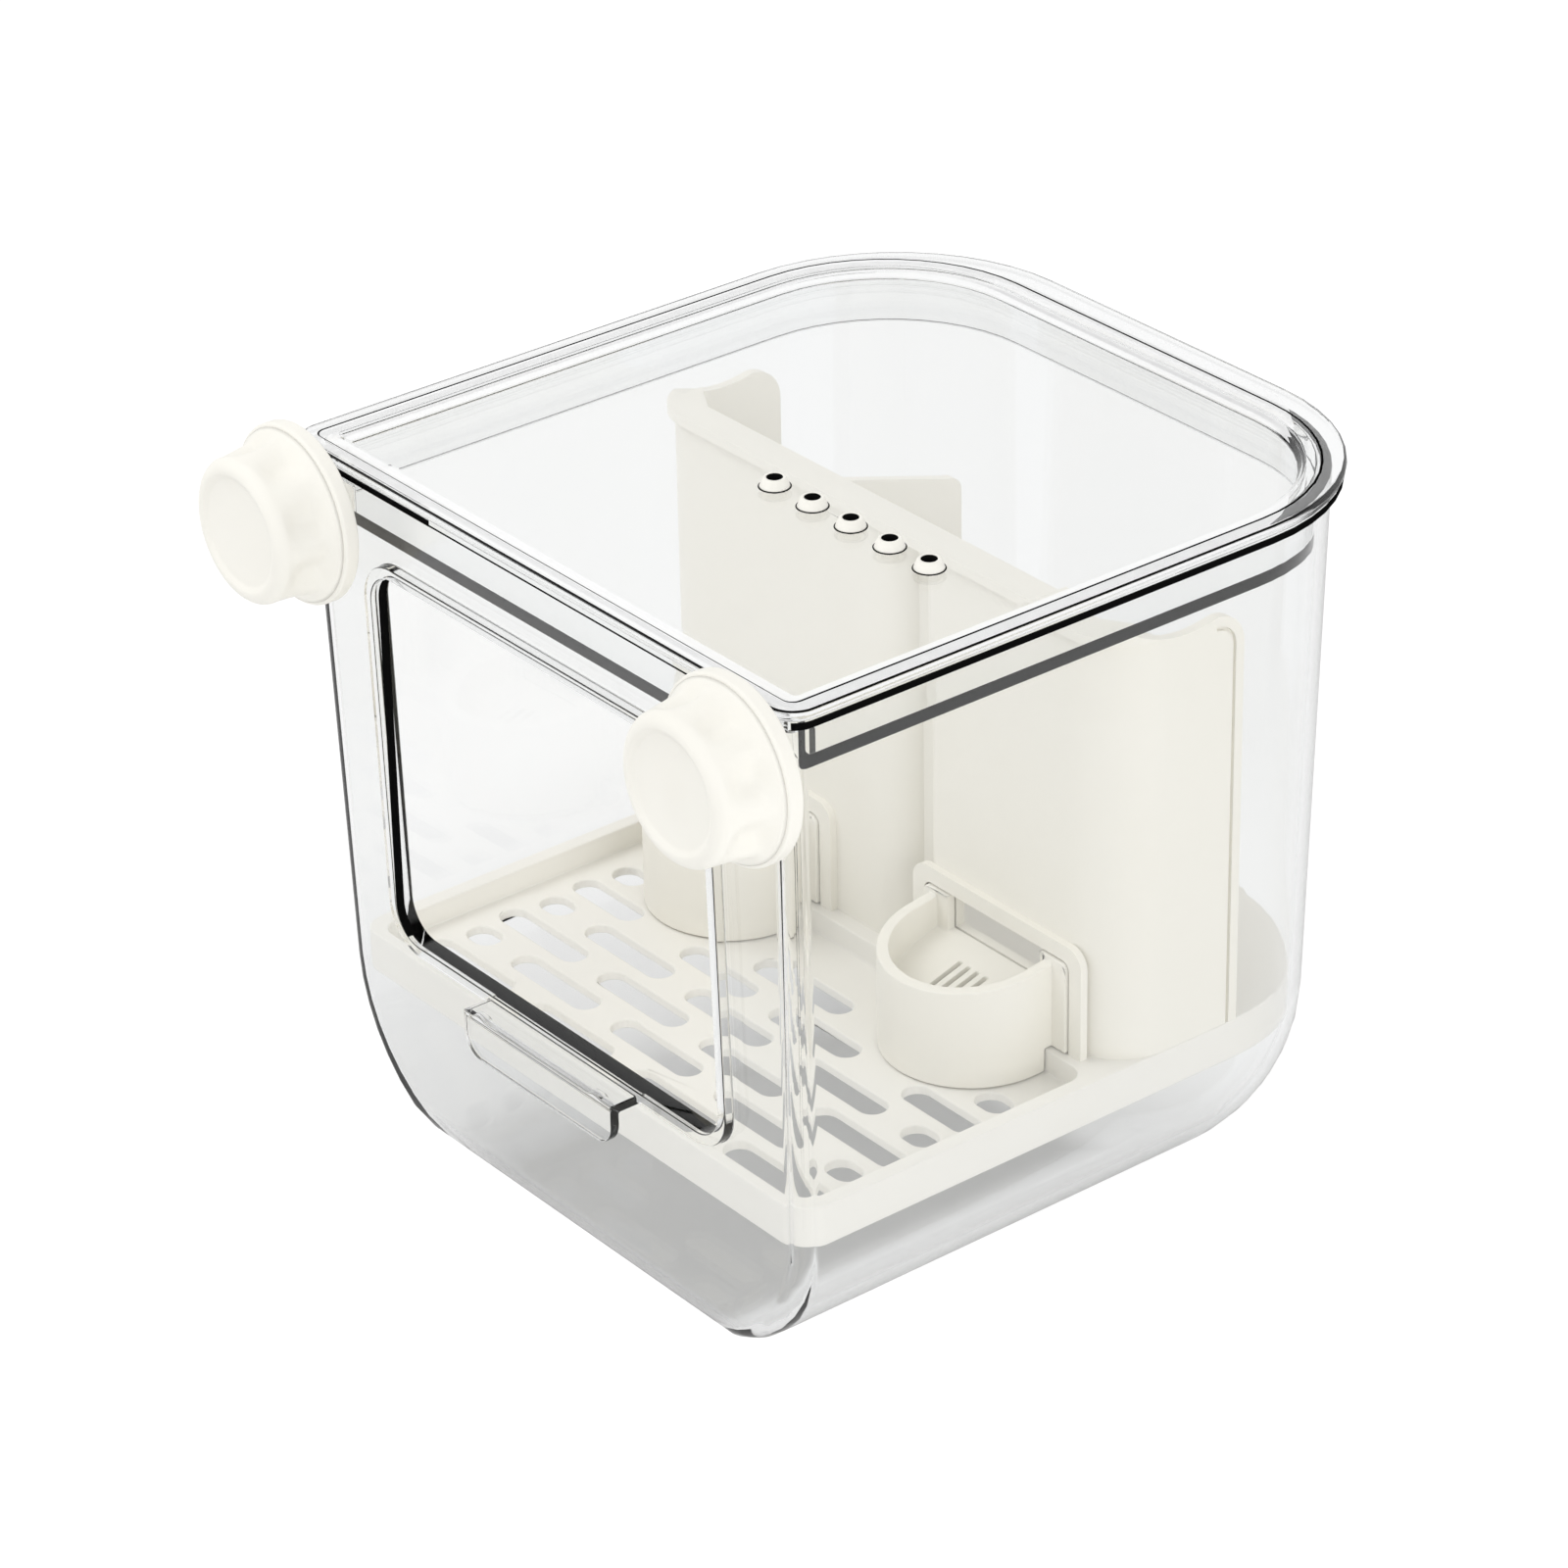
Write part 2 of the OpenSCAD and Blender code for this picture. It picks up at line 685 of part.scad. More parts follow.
module ledge() {
    r = bay_r - 1;
    yf = face_y - ledge_out;
    translate([0, 0, hopper_top - ledge_t])
        linear_extrude(ledge_t)
            polygon(concat(
                arc(-hopper_half + r, yf + r, r, 180, 90),
                arc(hopper_half - r, yf + r, r, 270, 90),
                [[hopper_half, yf + r + 1], [hopper_half - hopper_t, yf + r + 1]],
                [[hopper_half - r, yf + ledge_w], [-hopper_half + r, yf + ledge_w]],
                [[-hopper_half + hopper_t, yf + r + 1], [-hopper_half, yf + r + 1]]));
}

// upright plate from z = 0 to h with rounded upper corners, t thick towards the front
module arch_plate(half, h, r, t) {
    rotate([90, 0, 0])
        linear_extrude(t) {
            translate([-half, 0])
                square([2 * half, h - r]);
            translate([-half + r, 0])
                square([2 * (half - r), h]);
            for (sx = [-1, 1])
                translate([sx * (half - r), h - r])
                    circle(r);
        }
}

// raised border that holds a cup's flange
module frame_block(x) {
    translate([x, face_y + eps, tray_top])
        arch_plate(seat_half + frame_w, seat_top + frame_w - tray_top, frame_r, frame_out + eps);
}

// room for the cup's flange, and the seed window behind it
module cup_seat(x) {
    translate([x, face_y, tray_top - 1])
        arch_plate(seat_half, seat_top - tray_top + 1, seat_r, frame_out + 1);
    translate([x - window_w / 2, face_y - 1, window_low])
        cube([window_w, hopper_t + 2, seat_top - window_low]);
}

// D-shaped plan of a cup, drawn in by t, from its flange to its round front
module cup_plan(t) {
    intersection() {
        circle(cup_r - t);
        translate([-cup_r, -cup_r])
            square([2 * cup_r, cup_r + eps]);
    }
    translate([-cup_r + t, 0])
        square([2 * (cup_r - t), cup_straight + eps]);
}

flange_y = face_y - flange_gap - flange_t;
cup_y = flange_y - cup_straight;
flange_back = cup_straight + flange_t;
seed_lean = atan((seed_high - seed_low) / (cup_r + cup_straight));
rim_lean = atan(rim_rise / (cup_r + cup_straight));

// block above (side = 1) or below (side = -1) a slope that is h high at y and falls to the front
module slope_block(y, h, lean, side) {
    translate([-2 * cup_r, y, h])
        rotate([lean, 0, 0])
            translate([0, -3 * cup_r, side > 0 ? 0 : -3 * cup_h])
                cube([4 * cup_r, 3 * cup_r + 5, 3 * cup_h]);
}

// cup on the left (side = -1) or right (side = 1), drawn round the axis of its front
module cup(side) {
    rim_back = cup_h + rim_rise;
    color(cream_col)
        translate([side * (cup_x - cup_shift), cup_y, tray_floor])
            difference() {
                union() {
                    difference() {
                        translate([0, 0, cup_gap])
                            linear_extrude(rim_back - cup_gap)
                                cup_plan(0);
                        slope_block(cup_straight, rim_back, rim_lean, 1);
                    }
                    translate([side * cup_shift, flange_back, cup_gap])
                        arch_plate(flange_half, flange_top - tray_floor - cup_gap, seat_r - flange_gap,
                            flange_t);
                }
                // bowl above the seed floor, open at the back as wide as the window
                intersection() {
                    linear_extrude(rim_back + 1)
                        cup_plan(cup_t);
                    slope_block(flange_back, seed_high, seed_lean, 1);
                }
                intersection() {
                    translate([side * cup_shift - window_w / 2, cup_straight - eps, 0])
                        cube([window_w, flange_t + 1, flange_top]);
                    slope_block(flange_back, seed_high, seed_lean, 1);
                }
                // husks fall through the slits into the space below
                intersection() {
                    linear_extrude(cup_h)
                        cup_plan(cup_t);
                    slope_block(flange_back, seed_high - cup_t, seed_lean, -1);
                }
                // the back stands over the tray's raised part
                translate([-2 * cup_r, step_y - cup_y - cup_gap, 0])
                    cube([4 * cup_r, cup_r, tray_top - tray_floor + cup_gap]);
                for (i = [0 : slits - 1])
                    translate([(i - (slits - 1) / 2) * slit_pitch - slit_w / 2,
                        cup_straight - slit_back - slit_l, 0])
                        cube([slit_w, slit_l, cup_h]);
            }
}

// bore of the clamp plate and the nut
bore_r = stud_r + run_gap;
// turned line on the plate's face, just outside the nut
line_r = 0.55;
plate_back = front_y - wire_gap;
nut_back = plate_back - plate_t - nut_gap;

module stud(x) {
    color(white_col) {
        stud_line(x, seat_y + stud_head_t)
            cylinder(r = stud_head_r, h = stud_head_t);
        stud_line(x, seat_y + 0.5)
            cylinder(r = stud_r, h = seat_y + 0.5 - nut_back + stud_in_nut);
    }
}

module clamp_plate(x) {
    color(white_col)
        stud_line(x, plate_back)
            rotate_extrude()
                difference() {
                    union() {
                        translate([bore_r, 0])
                            square([plate_r - plate_edge_r - bore_r, plate_t]);
                        translate([bore_r, plate_edge_r])
                            square([plate_r - bore_r, plate_t - 2 * plate_edge_r]);
                        for (z = [plate_edge_r, plate_t - plate_edge_r])
                            translate([plate_r - plate_edge_r, z])
                                circle(plate_edge_r, $fn = 24);
                    }
                    translate([nut_back_r + 0.3, plate_t])
                        circle(line_r, $fn = 24);
                }
}

module knob(x) {
    color(white_col)
        stud_line(x, nut_back)
            difference() {
                rotate_extrude($fn = 96)
                    nut_section();
                for (i = [0 : nut_flutes - 1])
                    rotate([0, 0, (i + 0.5) * 360 / nut_flutes])
                        translate([nut_back_r + flute_r - flute_depth, 0, -1])
                            cylinder(r = flute_r, h = nut_l - nut_edge_r - 0.4);
                translate([0, 0, -1])
                    cylinder(r = bore_r, h = nut_l - nut_cap_t + 1);
            }
}

// half section of the nut: leaning side, rounded front edge, shallow dish
module nut_section() {
    polygon(concat([[0, 0], [nut_back_r, 0]],
        [for (a = [0 : 10 : 90])
            [nut_front_r - nut_edge_r + nut_edge_r * cos(a), nut_l - nut_edge_r + nut_edge_r * sin(a)]],
        [[dish_r + 0.5, nut_l], [dish_r, nut_l - dish_depth], [0, nut_l - dish_depth]]));
}

module left_cup() {
    cup(-1);
}
module right_cup() {
    cup(1);
}
module left_stud() {
    stud(-stud_x);
}
module right_stud() {
    stud(stud_x);
}
module left_clamp_plate() {
    clamp_plate(-stud_x);
}
module right_clamp_plate() {
    clamp_plate(stud_x);
}
module left_knob() {
    knob(-stud_x);
}
module right_knob() {
    knob(stud_x);
}

tub();
lid();
tray();
hopper();
left_cup();
right_cup();
left_stud();
right_stud();
left_clamp_plate();
right_clamp_plate();
left_knob();
right_knob();
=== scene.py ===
# %% [markdown]
# # A clear bird cage feeder
# The feeder is a clear moulded tub that hangs on a cage door. Inside it are a perforated
# tray, a seed hopper and two pull-out cups, all in cream plastic; two clamp nuts grip the wires.
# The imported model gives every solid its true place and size, so this lesson is about light,
# clear plastic, and the fine moulded detail that solids alone don't show.

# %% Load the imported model
import math
import bmesh
import bpy
from mathutils import Matrix, Vector


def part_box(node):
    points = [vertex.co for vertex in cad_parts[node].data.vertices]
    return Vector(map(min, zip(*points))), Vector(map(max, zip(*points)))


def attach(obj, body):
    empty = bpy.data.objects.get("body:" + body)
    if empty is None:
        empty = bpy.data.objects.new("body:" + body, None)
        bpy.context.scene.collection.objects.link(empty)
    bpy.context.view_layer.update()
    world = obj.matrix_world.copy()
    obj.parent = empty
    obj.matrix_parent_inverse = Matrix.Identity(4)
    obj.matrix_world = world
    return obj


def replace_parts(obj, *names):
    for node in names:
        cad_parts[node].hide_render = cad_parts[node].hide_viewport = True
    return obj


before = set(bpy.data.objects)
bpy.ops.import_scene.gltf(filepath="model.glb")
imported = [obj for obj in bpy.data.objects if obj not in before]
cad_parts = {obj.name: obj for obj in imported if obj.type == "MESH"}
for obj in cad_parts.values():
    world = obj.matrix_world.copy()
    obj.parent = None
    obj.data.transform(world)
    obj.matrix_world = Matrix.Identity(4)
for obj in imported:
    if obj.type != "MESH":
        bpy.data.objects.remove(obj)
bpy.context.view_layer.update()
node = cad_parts
print("nodes:", sorted(node))

# %% [markdown]
# ## The camera's axes
# The photograph looks down on the right front corner from far away. A camera could be turned by
# hand until the view looks right, but angles solved from the straight edges of the lid, the tub and
# the tray fit everywhere at once. The axes are worked out from azimuth, elevation and roll, so that
# each number can be read and changed.

# %% Work out the camera's axes
azimuth, elevation, roll = math.radians(51.783), math.radians(28.901), math.radians(-1.169)
across = Vector((math.cos(azimuth), math.sin(azimuth), 0))
back = Vector((math.sin(azimuth) * math.cos(elevation), -math.cos(azimuth) * math.cos(elevation),
               math.sin(elevation)))
up = back.cross(across)
cam_x = across * math.cos(roll) + up * math.sin(roll)
cam_y = up * math.cos(roll) - across * math.sin(roll)
print("the camera looks along", [round(-part, 3) for part in back])

# %% [markdown]
# ## The camera's place
# The tub's upright edges lean together only a little, so the lens is long and the camera a little
# over a metre away. A short lens close by would swell the front nut. The point it aims at doesn't
# lie in the middle of the picture, so the eye moves sideways by that offset, turned from pixels
# into metres.

# %% Place the camera
picture_px, focal_px, distance = 1600, 5881.3, 1.12024
aim, aim_px = Vector((0, -0.0005, 0.0735)), Vector((873.53, 813.35))
sensor_width = 36
metres_per_px = distance / focal_px
offset_x, offset_y = (metres_per_px * (px - picture_px / 2) for px in aim_px)
eye = aim + back * distance - cam_x * offset_x + cam_y * offset_y

camera = bpy.data.objects.new("camera", bpy.data.cameras.new("camera"))
bpy.context.scene.collection.objects.link(camera)
camera.matrix_world = Matrix((cam_x, cam_y, back)).transposed().to_4x4()
camera.location = eye
camera.data.sensor_width = sensor_width
camera.data.lens = focal_px / picture_px * sensor_width
camera.data.clip_start, camera.data.clip_end = 0.01, 50
bpy.context.scene.camera = camera
bpy.context.scene.view_settings.view_transform = "Standard"
print("lens %.1f mm, camera at %s" % (camera.data.lens, [round(part, 3) for part in eye]))

# %% [markdown]
# ## Small helpers for node materials
# Every finish here is built from nodes, and a node tree soon fills a page. Short helpers keep the
# cells readable: one adds a node with its settings, one sets values by name, and one feeds a socket
# with either a link or a plain value.

# %% Node helpers
def add_node(tree, kind, **settings):
    made = tree.nodes.new(kind)
    for name, value in settings.items():
        setattr(made, name, value)
    return made


def set_inputs(made, **values):
    for name, value in values.items():
        made.inputs[name.replace("_", " ")].default_value = value
    return made


def feed(tree, given, socket):
    """link a socket to the one that is given, or set it to the value that is given"""
    if isinstance(given, bpy.types.NodeSocket):
        tree.links.new(given, socket)
    else:
        socket.default_value = given


def new_material(name):
    material = bpy.data.materials.new(name)
    material.use_nodes = True
    material.node_tree.nodes.clear()
    return material, material.node_tree


print("made add_node, set_inputs, feed and new_material")

# %% [markdown]
# ## Helpers that mix and calculate
# A finish often asks what kind of ray is looking, or blends two colours or two shaders. These
# helpers add such a node and give back the socket of its result, so that they can be nested. A Mix
# node has sockets for every kind of value, and those for colours are at places 6 and 7.

# %% Mixing helpers
white = (1, 1, 1, 1)
mix_colour_inputs, mix_colour_output = (0, 6, 7), 2


def grey_of(value):
    return (value, value, value, 1)


def calculate(tree, operation, *terms, use_clamp=False):
    made = add_node(tree, "ShaderNodeMath", operation=operation, use_clamp=use_clamp)
    for given, socket in zip(terms, made.inputs):
        feed(tree, given, socket)
    return made.outputs[0]


def mix_colours(tree, share, first, second):
    made = add_node(tree, "ShaderNodeMix", data_type="RGBA")
    for given, place in zip((share, first, second), mix_colour_inputs):
        feed(tree, given, made.inputs[place])
    return made.outputs[mix_colour_output]


def mix_shaders(tree, share, first, second):
    made = add_node(tree, "ShaderNodeMixShader")
    for given, socket in zip((share, first, second), made.inputs):
        feed(tree, given, socket)
    return made.outputs[0]


def show(tree, shader, kind="ShaderNodeOutputMaterial"):
    """end the tree with its output"""
    feed(tree, shader, add_node(tree, kind).inputs[0])


print("made grey_of, calculate, mix_colours, mix_shaders and show")

# %% [markdown]
# ## The studio sky
# The photograph has a pure white ground and no hard shadow. Clear plastic needs something dark to
# show its edges, so the sky has three faces, told apart by the kind of ray: white for the camera, a
# soft light for plain surfaces, and for reflected and refracted rays a sky that is dark overhead,
# as a black cloth over a product photographer's table would be.

# %% The sky
soft_light = 0.78
cloth_starts, cloth_full, cloth_grey = 0.45, 0.75, 0.02


def sky_face(tree, strength):
    face = set_inputs(add_node(tree, "ShaderNodeBackground"), Color=white)
    feed(tree, strength, face.inputs["Strength"])
    return face.outputs[0]


world = bpy.data.worlds.new("studio")
bpy.context.scene.world = world
world.use_nodes = True
sky = world.node_tree
sky.nodes.clear()
ray = add_node(sky, "ShaderNodeLightPath").outputs
direction = add_node(sky, "ShaderNodeSeparateXYZ")
feed(sky, add_node(sky, "ShaderNodeTexCoord").outputs["Generated"], direction.inputs[0])
cloth = add_node(sky, "ShaderNodeMapRange", interpolation_type="SMOOTHSTEP")
set_inputs(cloth, From_Min=cloth_starts, From_Max=cloth_full, To_Min=1.0, To_Max=cloth_grey)
feed(sky, direction.outputs["Z"], cloth.inputs["Value"])
from_plastic = calculate(sky, "MAXIMUM", ray["Is Glossy Ray"], ray["Is Transmission Ray"])
plain_face, dark_face = sky_face(sky, soft_light), sky_face(sky, cloth.outputs["Result"])
light = mix_shaders(sky, from_plastic, plain_face, dark_face)
show(sky, mix_shaders(sky, ray["Is Camera Ray"], light, sky_face(sky, 1.0)), "ShaderNodeOutputWorld")
print("sky nodes:", len(sky.nodes))

# %% [markdown]
# ## How much the floor glows
# A white paper sweep under strong light is as bright as the sky, and one small scene can't light it
# so without burning out the feeder. The floor glows instead, for the camera and for rays from the
# plastic, and the rest of it stays plain paper, which takes the feeder's soft shadow.

# %% Share of the floor's glow
glow_share = {"Is Camera Ray": 0.8, "Is Glossy Ray": 0.6, "Is Transmission Ray": 0.75}
floor_finish, floor_tree = new_material("floor_white")
ray = add_node(floor_tree, "ShaderNodeLightPath").outputs
glowing = 0.0
for kind, part in glow_share.items():
    glow_for_kind = calculate(floor_tree, "MULTIPLY", ray[kind], part)
    glowing = calculate(floor_tree, "MAXIMUM", glow_for_kind, glowing)
print("the floor glows for", list(glow_share))

# %% [markdown]
# ## The shade under the tub
# Where the tub's flat bottom touches the floor, light can't get under it, and the photograph shows
# a grey patch through the clear base. The floor's glow would wash out a shadow that the lamps cast,
# so the patch is part of the floor's material. Four slopes, one for each side, measure how far a
# point of the floor lies past the patch, and the largest of them counts.

# %% Measure the distance past the patch
contact_edges = {"right": ("X", 1.0, -0.038), "left": ("X", -0.35, -0.01075),
                 "rear": ("Y", 1.0, -0.021), "front": ("Y", -0.5, -0.039)}
contact_reach = {"From_Min": -0.02, "From_Max": 0.05}

place = add_node(floor_tree, "ShaderNodeSeparateXYZ")
feed(floor_tree, add_node(floor_tree, "ShaderNodeNewGeometry").outputs["Position"], place.inputs[0])
past = None
for axis, slope, offset in contact_edges.values():
    past_side = calculate(floor_tree, "MULTIPLY_ADD", place.outputs[axis], slope, offset)
    past = past_side if past is None else calculate(floor_tree, "MAXIMUM", past, past_side)
past_share = set_inputs(add_node(floor_tree, "ShaderNodeMapRange"), **contact_reach)
feed(floor_tree, past, past_share.inputs["Value"])
print("edges of the patch:", list(contact_edges))

# %% [markdown]
# ## The shade's greys
# A real contact shadow is even in its middle and fades faster at first than further out. One
# straight fade would look sprayed on, so a ramp with four stops and soft passages follows it.

# %% Turn the distance into a grey
contact_greys = ((0.0, 0.32), (0.26, 0.33), (0.42, 0.68), (1.0, 0.905))
contact = add_node(floor_tree, "ShaderNodeValToRGB")
contact.color_ramp.interpolation = "EASE"
stops = contact.color_ramp.elements
for position, _ in contact_greys[1:-1]:
    stops.new(position)
for stop, (_, grey) in zip(stops, contact_greys):
    stop.color = grey_of(grey)
feed(floor_tree, past_share.outputs["Result"], contact.inputs["Fac"])
print("contact shade:", [(round(stop.position, 2), round(stop.color[0], 3)) for stop in stops])

# %% [markdown]
# ## The floor's finish
# The patch shows only through the plastic, and reflections see a darker floor, which gives the
# clear walls their soft grey edges. A ray that went through plastic and then bounced carries both
# marks, so reflections alone are found by taking one mark from the other.

# %% Finish the floor
paper_white, glow_strength, mirrored_grey = 0.95, 1.12, 0.55
through = ray["Is Transmission Ray"]
mirrored_only = calculate(floor_tree, "SUBTRACT", ray["Is Glossy Ray"], through, use_clamp=True)
tint = mix_colours(floor_tree, through, white, contact.outputs["Color"])
tint = mix_colours(floor_tree, mirrored_only, tint, grey_of(mirrored_grey))
paper = set_inputs(add_node(floor_tree, "ShaderNodeBsdfDiffuse"), Color=grey_of(paper_white))
glow = set_inputs(add_node(floor_tree, "ShaderNodeEmission"), Strength=glow_strength)
feed(floor_tree, tint, glow.inputs["Color"])
show(floor_tree, mix_shaders(floor_tree, glowing, paper.outputs[0], glow.outputs[0]))
print("floor nodes:", len(floor_tree.nodes))

# %% [markdown]
# ## The floor's sheet
# A studio has a sweep of paper that curves up behind the object. Here the sky is as white as the
# floor, so one flat sheet is enough, large enough that no view finds its end. It lies a hair under
# the tub, so that two surfaces never share one place, and is marked as stage, which no body carries.

# %% Lay the floor
floor_half, floor_z = 6, -0.0004
floor_mesh = bpy.data.meshes.new("floor")
floor_corners = [(x * floor_half, y * floor_half, floor_z)
                 for x, y in ((-1, -1), (1, -1), (1, 1), (-1, 1))]
floor_mesh.from_pydata(floor_corners, [], [(0, 1, 2, 3)])
floor_mesh.materials.append(floor_finish)
floor = bpy.data.objects.new("floor", floor_mesh)
bpy.context.scene.collection.objects.link(floor)
print("floor size:", [round(length, 1) for length in floor.dimensions])

# %% [markdown]
# ## The lamps
# Two large soft lamps give the cream plastic its form: the key from the left front and above, and
# a weaker fill from the right. Small lamps would draw hard shadows, and the photograph has none.
# The lamps themselves are hidden from the camera and from the plastic, because no lamp is mirrored
# in the clear walls.

# %% Hang the lamps
lamp_size, lamp_aim = 0.8, Vector((0, 0, 0.07))
lamps = {"key_lamp": ((-0.55, -0.5, 1.1), 5.4), "fill_lamp": ((1.2, -0.2, 0.45), 3.9)}


def soft_lamp(name, place, power):
    lamp = bpy.data.lights.new(name, "AREA")
    lamp.shape, lamp.size, lamp.energy = "SQUARE", lamp_size, power
    holder = bpy.data.objects.new(name, lamp)
    bpy.context.scene.collection.objects.link(holder)
    holder.location = place
    holder.rotation_euler = (lamp_aim - Vector(place)).to_track_quat("-Z", "Y").to_euler()
    holder.visible_camera = False
    holder.visible_glossy = False
    holder.visible_transmission = False


for name, (place, power) in lamps.items():
    soft_lamp(name, place, power)
    print(name, "at", place, "gives", power, "W")

# %% [markdown]
# ## Empty node groups
# An effect that several finishes share is built once, as a node group, and placed in each of them
# with its own values. This helper makes an empty group with named sockets and gives back its two
# ends, so that only the effect itself is left to build.

# %% Node group helper
def new_group(name, inputs, outputs):
    group = bpy.data.node_groups.new(name, "ShaderNodeTree")
    for way, sockets in (("INPUT", inputs), ("OUTPUT", outputs)):
        for socket, kind in sockets.items():
            group.interface.new_socket(name=socket, in_out=way, socket_type=kind)
    return group, add_node(group, "NodeGroupInput"), add_node(group, "NodeGroupOutput")


print("made new_group")

# %% [markdown]
# ## Moulded plastic detail
# Cream plastic from a mould isn't one flat colour: it has faint flow marks and a fine texture from
# the tool. A painted picture would need every piece laid out flat, while noise worked out in space
# runs through all of them. One node group gives a slightly changing colour, a roughness and a
# height, and each material sets its own colours and scales.

# %% The moulded grain group
grain_inputs = {"Light Colour": "NodeSocketColor", "Dark Colour": "NodeSocketColor",
                "Flow Scale": "NodeSocketFloat", "Grain Scale": "NodeSocketFloat"}
grain_outputs = {"Colour": "NodeSocketColor", "Roughness": "NodeSocketFloat",
                 "Height": "NodeSocketFloat"}
smoothest, roughest = 0.36, 0.5


def make_grain_group():
    group, inside, outside = new_group("moulded_grain", grain_inputs, grain_outputs)
    place = add_node(group, "ShaderNodeTexCoord")
    flow = set_inputs(add_node(group, "ShaderNodeTexNoise"), Detail=2.0, Roughness=0.5, Distortion=0.6)
    grain = set_inputs(add_node(group, "ShaderNodeTexNoise"), Detail=3.0, Roughness=0.6)
    for texture, scale in ((flow, "Flow Scale"), (grain, "Grain Scale")):
        feed(group, place.outputs["Object"], texture.inputs["Vector"])
        feed(group, inside.outputs[scale], texture.inputs["Scale"])
    rough = set_inputs(add_node(group, "ShaderNodeMapRange"), To_Min=smoothest, To_Max=roughest)
    feed(group, grain.outputs["Fac"], rough.inputs["Value"])
    colour = mix_colours(group, flow.outputs["Fac"], inside.outputs["Dark Colour"],
                         inside.outputs["Light Colour"])
    feed(group, colour, outside.inputs["Colour"])
    feed(group, rough.outputs["Result"], outside.inputs["Roughness"])
    feed(group, grain.outputs["Fac"], outside.inputs["Height"])
    return group


grain_group = make_grain_group()
print("grain group:", list(grain_inputs), "->", list(grain_outputs))

# %% [markdown]
# ## The three moulded plastics
# Hopper and cups are cream, the tray is a shade greyer, and the nuts, plates and vents are nearly
# white. They share one recipe, so that they look like parts of one set, and differ in colour and in
# how coarse the marks are.

# %% Build the moulded plastics
plastic_ior, grain_height = 1.49, 0.0002


def moulded_plastic(name, light, dark, flow_scale, grain_scale, bump):
    material, tree = new_material(name)
    grain = add_node(tree, "ShaderNodeGroup", node_tree=grain_group)
    set_inputs(grain, Light_Colour=(*light, 1), Dark_Colour=(*dark, 1),
               Flow_Scale=flow_scale, Grain_Scale=grain_scale)
    relief = set_inputs(add_node(tree, "ShaderNodeBump"), Strength=bump, Distance=grain_height)
    skin = set_inputs(add_node(tree, "ShaderNodeBsdfPrincipled"), IOR=plastic_ior)
    feed(tree, grain.outputs["Colour"], skin.inputs["Base Color"])
    feed(tree, grain.outputs["Roughness"], skin.inputs["Roughness"])
    feed(tree, grain.outputs["Height"], relief.inputs["Height"])
    feed(tree, relief.outputs[0], skin.inputs["Normal"])
    show(tree, skin.outputs[0])
    return material


cream = moulded_plastic("cream_plastic", light=(0.89, 0.87, 0.8), dark=(0.86, 0.836, 0.755),
                        flow_scale=25, grain_scale=2600, bump=0.12)
tray_cream = moulded_plastic("tray_plastic", light=(0.88, 0.867, 0.82), dark=(0.85, 0.832, 0.775),
                             flow_scale=25, grain_scale=2600, bump=0.12)
off_white = moulded_plastic("off_white_plastic", light=(0.91, 0.895, 0.835), dark=(0.87, 0.85, 0.785),
                            flow_scale=60, grain_scale=3000, bump=0.1)
print("plastics:", [made.name for made in (cream, tray_cream, off_white)])

# %% [markdown]
# ## Clear plastic
# The tub and lid are moulded as clear as glass, with a faint waviness. Plain transparency would
# hide their edges, so the plastic bends light as the real one does, through its real thickness.
# Light must reach the cream pieces inside, so shadow rays and soft bounced light pass straight
# through, while the eye sees the true bending at every edge.

# %% Build the clear plastic
clear_tint, passed_light = (0.955, 0.96, 0.96, 1), 0.985
wave_scale, wave_strength, wave_height = 18.0, 0.02, 0.001


def clear_plastic(name):
    material, tree = new_material(name)
    wave = set_inputs(add_node(tree, "ShaderNodeTexNoise"), Scale=wave_scale, Detail=1.0)
    ripple = set_inputs(add_node(tree, "ShaderNodeBump"), Strength=wave_strength, Distance=wave_height)
    body = add_node(tree, "ShaderNodeBsdfPrincipled")
    set_inputs(body, Base_Color=clear_tint, Roughness=0.0, IOR=plastic_ior, Transmission_Weight=1.0)
    straight = set_inputs(add_node(tree, "ShaderNodeBsdfTransparent"), Color=grey_of(passed_light))
    feed(tree, add_node(tree, "ShaderNodeTexCoord").outputs["Object"], wave.inputs["Vector"])
    feed(tree, wave.outputs["Fac"], ripple.inputs["Height"])
    feed(tree, ripple.outputs[0], body.inputs["Normal"])
    ray = add_node(tree, "ShaderNodeLightPath").outputs
    soft_ray = calculate(tree, "MAXIMUM", ray["Is Shadow Ray"], ray["Is Diffuse Ray"])
    show(tree, mix_shaders(tree, soft_ray, body.outputs[0], straight.outputs[0]))
    return material


clear = clear_plastic("clear_plastic")
print(clear.name, "nodes:", len(clear.node_tree.nodes))

# %% [markdown]
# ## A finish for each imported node
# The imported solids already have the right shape, so each keeps its mesh and only gets a finish. The
# large pieces and the cups are named here, and the studs, plates and nuts take the off-white.

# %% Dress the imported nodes
sides = ("left", "right")
finishes = {"tub": clear, "lid": clear, "tray": tray_cream, "hopper": cream}
finishes.update({side + "_cup": cream for side in sides})
for name, piece in node.items():
    piece.data.materials.clear()
    piece.data.materials.append(finishes.get(name, off_white))
    print(name, "is", piece.data.materials[0].name)

# %% [markdown]
# ## Weld the imported corners
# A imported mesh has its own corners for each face, so nothing can round or shade across them. The
# meshes may not be edited, but a modifier may: a small geometry-nodes tree drops the stored normals,
# welds the corners and shades them smooth. A second one keeps the sharp edges, for the hopper's walls.

# %% Build the welding trees
weld_distance, sharp_angle = 2e-6, math.radians(28)


